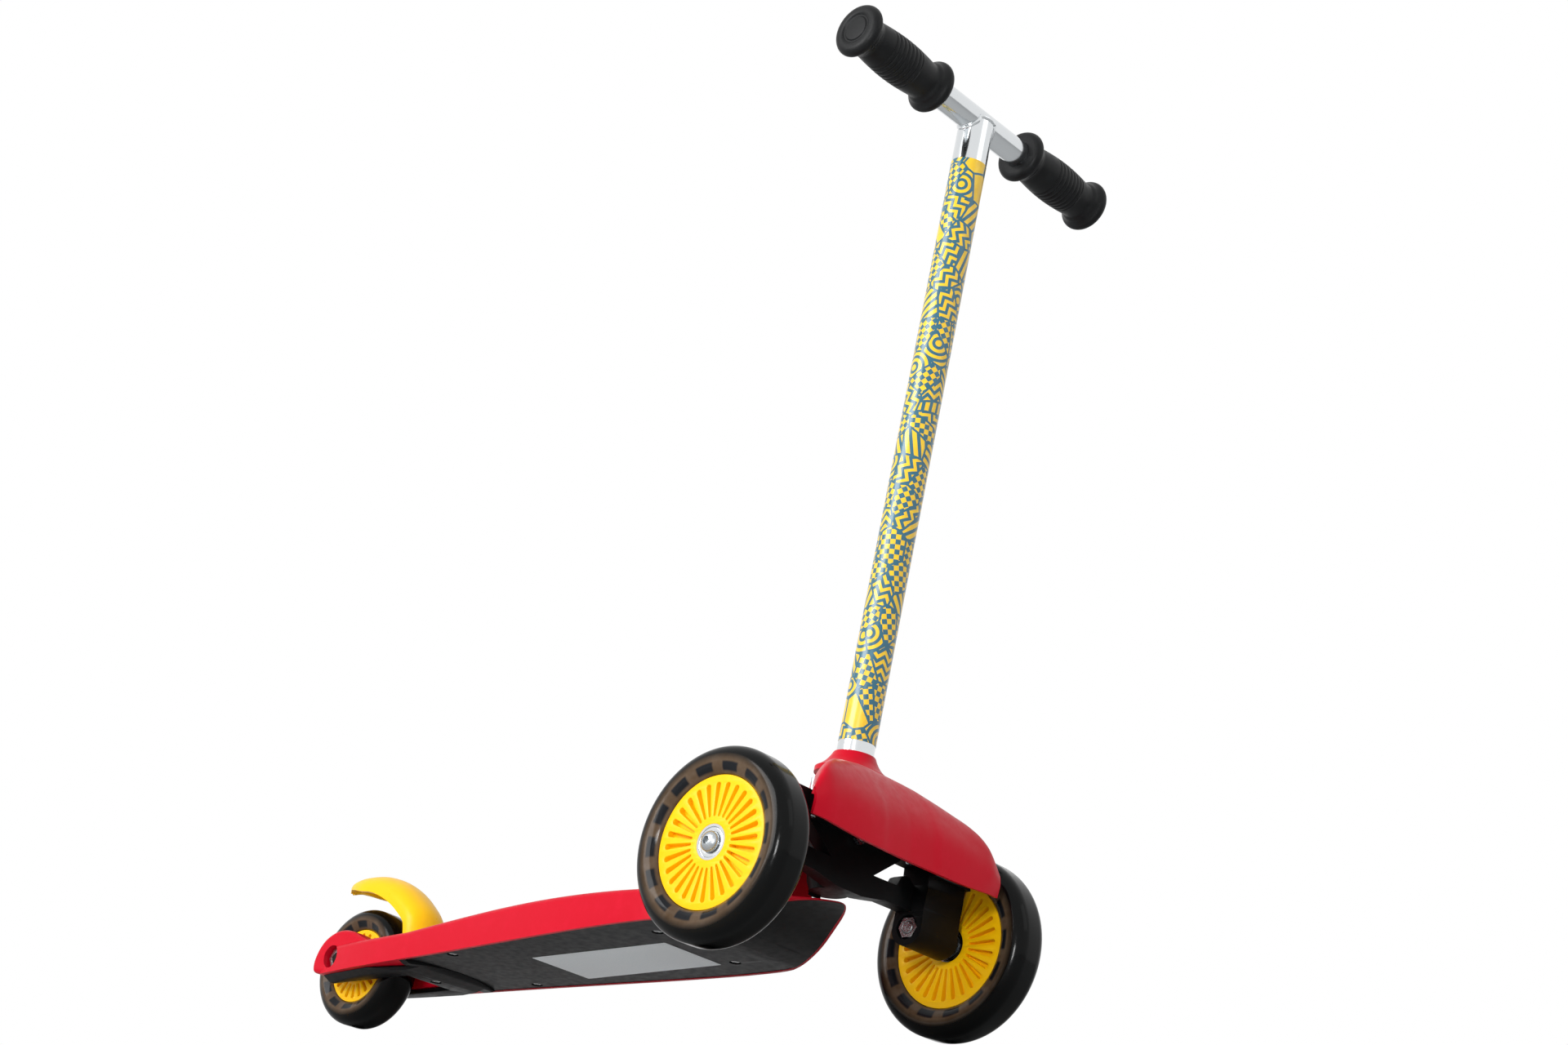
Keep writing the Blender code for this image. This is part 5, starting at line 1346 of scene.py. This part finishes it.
# %% Brake fender
FENDER_CROWN = [(-478, 101, 0.12, 0.1), (-473, 105, 0.4, 0.3), (-463, 108, 0.73, 0.6),
                (-449, 109.4, 0.96, 0.86), (-431, 108.2, 1, 0.95), (-412, 101.8, 1, 1),
                (-395, 90.7, 1, 0.98), (-381.5, 76, 1, 0.92), (-378, 56, 1, 0.8)]
FENDER_HALF, FENDER_DROP, FENDER_WALL = 17.5 * MM, 16 * MM, 2.6 * MM
BARREL, ROOT_HALF, GAP_HALF = 5.5 * MM, 15.5 * MM, 6.5 * MM


def fender_sheet():
    """The outer skin: an arch across at each point of the crown."""
    path = smooth(FENDER_CROWN, 8)
    rows = []
    for i, (x, z, width, drop) in enumerate(path):
        before, after = path[max(i - 1, 0)], path[min(i + 1, len(path) - 1)]
        along = Vector((after[0] - before[0], after[1] - before[1])).normalized()
        row = []
        for angle in [math.radians(-90 + 7.5 * k) for k in range(25)]:
            arch = 1 - math.cos(angle) ** 0.8 if abs(angle) < 1.57 else 1
            down, out = FENDER_DROP * drop * arch, FENDER_HALF * width * math.sin(angle)
            row.append((x * MM + along.y * down, out, z * MM - along.x * down))
        rows.append(row)
    return loft("fender", rows, closed_rows=False, angle=60)


def fender_mesh():
    """The arched shell with its wall, hinge barrels and the gap for the spring."""
    shell = placed(walled("fender", fender_sheet(), FENDER_WALL), FORK)
    hinge = Matrix.Translation(HINGE)
    pin = hinge @ OUTWARD[1]
    root = block("root", (-4.6 * MM, -ROOT_HALF, 0), (4.6 * MM, ROOT_HALF, 16 * MM))
    gap = block("gap", (-12 * MM, -GAP_HALF, -12 * MM), (12 * MM, GAP_HALF, 9 * MM))
    steps = [("join", placed(rod("barrel", BARREL, -FENDER_HALF, FENDER_HALF), pin)),
             ("join", placed(root, hinge)), ("cut", placed(gap, hinge)),
             ("cut", placed(rod("hole", PIN_R, -35 * MM, 35 * MM), pin))]
    return carved("fender", shell, steps, angle=50)


dress("brake_fender_shell", fender_mesh(), yellow_polypropylene, "brake", ["brake_fender"])

# %% [markdown]
# ## Camera
# The picture is taken from below and in front, looking up past the near wheel. The place,
# the turn and the lens were worked out from the wheels' ellipses and the column's edges.

# %% Camera
CAMERA_AT = Vector((1.2787, -1.2121, -0.3626))
CAMERA_TURN = [math.radians(angle) for angle in (112.613, -7.33, 40.759)]
lens = bpy.data.cameras.new("camera")
lens.lens, lens.sensor_width = 61.85, 36
lens.clip_start, lens.clip_end = 0.05, 60
camera = bpy.data.objects.new("camera", lens)
camera.location, camera.rotation_euler = CAMERA_AT, CAMERA_TURN
scene.collection.objects.link(camera)
scene.camera = camera
print("camera at", CAMERA_AT, "with a lens of", lens.lens, "mm")

# %% [markdown]
# ## Floor
# The camera lies lower than the wheels, so the floor must not hide the scooter from
# below: it is solid from above and clear from its back.

# %% Floor
FLOOR_HALF, FLOOR_DROP = 8, 0.2 * MM


def floor_material():
    """A pale floor that is clear when it is seen from below."""
    made, tree, shader = start_material("pale_floor", Roughness=0.7)
    shader.inputs["Base Color"].default_value = hex_colour("#EEF0F1")
    back = add_node(tree, "NewGeometry").outputs["Backfacing"]
    clear = add_node(tree, "BsdfTransparent").outputs[0]
    mix = add_node(tree, "MixShader", None, {0: back, 1: shader.outputs[0], 2: clear})
    tree.links.new(mix.outputs[0], tree.nodes["Material Output"].inputs["Surface"])
    return made


bm = bmesh.new()
bmesh.ops.create_grid(bm, x_segments=1, y_segments=1, size=FLOOR_HALF)
floor_mesh = closed_mesh("floor", bm)
floor_mesh.materials.append(floor_material())
if floor_mesh.polygons[0].normal.z < 0:
    floor_mesh.flip_normals()
floor = bpy.data.objects.new("floor", floor_mesh)
scene.collection.objects.link(floor)
floor.location.z = -FLOOR_DROP
print("floor:", floor.name, [round(side, 2) for side in floor.dimensions])

# %% [markdown]
# ## Sky and lamps
# The background is white through the world, which gives less as light than it shows to
# the camera and to reflections. One broad lamp stands on the camera's left, a weaker one
# fills from the front, and a small low one beside the camera reaches the far wheel.

# %% Sky and lamps
SKY_AS_LIGHT, SKY_AS_SEEN = 0.4, 1.0
LAMPS = [("key", (-0.5, -2.3, 1.1), (0, 0, 0.15), 1.4, 46), ("fill", (2.2, 0.4, 1.6), (0, 0, 0.3), 1.2, 3),
         ("front", (1.2, -2.1, 0.25), (0.2, 0, 0.1), 0.4, 20)]


def sky():
    """White where it is seen or mirrored, softer as light."""
    world = bpy.data.worlds.new("studio")
    world.use_nodes = True
    tree = world.node_tree
    rays = add_node(tree, "LightPath").outputs
    seen = rays["Is Camera Ray"]
    for kind in ("Is Transmission Ray", "Is Glossy Ray"):
        either = {0: seen, 1: rays[kind]}
        seen = add_node(tree, "Math", {"operation": "ADD", "use_clamp": True}, either).outputs[0]
    shades = {0: seen, 2: SKY_AS_LIGHT, 3: SKY_AS_SEEN}
    strength = add_node(tree, "Mix", {"data_type": "FLOAT"}, shades).outputs[0]
    background = tree.nodes["Background"]
    background.inputs["Color"].default_value = (1, 1, 1, 1)
    tree.links.new(strength, background.inputs["Strength"])
    scene.world = world


def lamp(name, place, aim, size, power):
    """A square soft lamp that points at a place."""
    data = bpy.data.lights.new(name, "AREA")
    data.size, data.energy = size, power
    made = bpy.data.objects.new(name, data)
    made.location = place
    made.rotation_euler = (Vector(aim) - Vector(place)).to_track_quat("-Z", "Y").to_euler()
    scene.collection.objects.link(made)


sky()
for setting in LAMPS:
    lamp(*setting)
scene.view_settings.view_transform = "Standard"
print("lamps:", [(name, power) for name, place, aim, size, power in LAMPS])
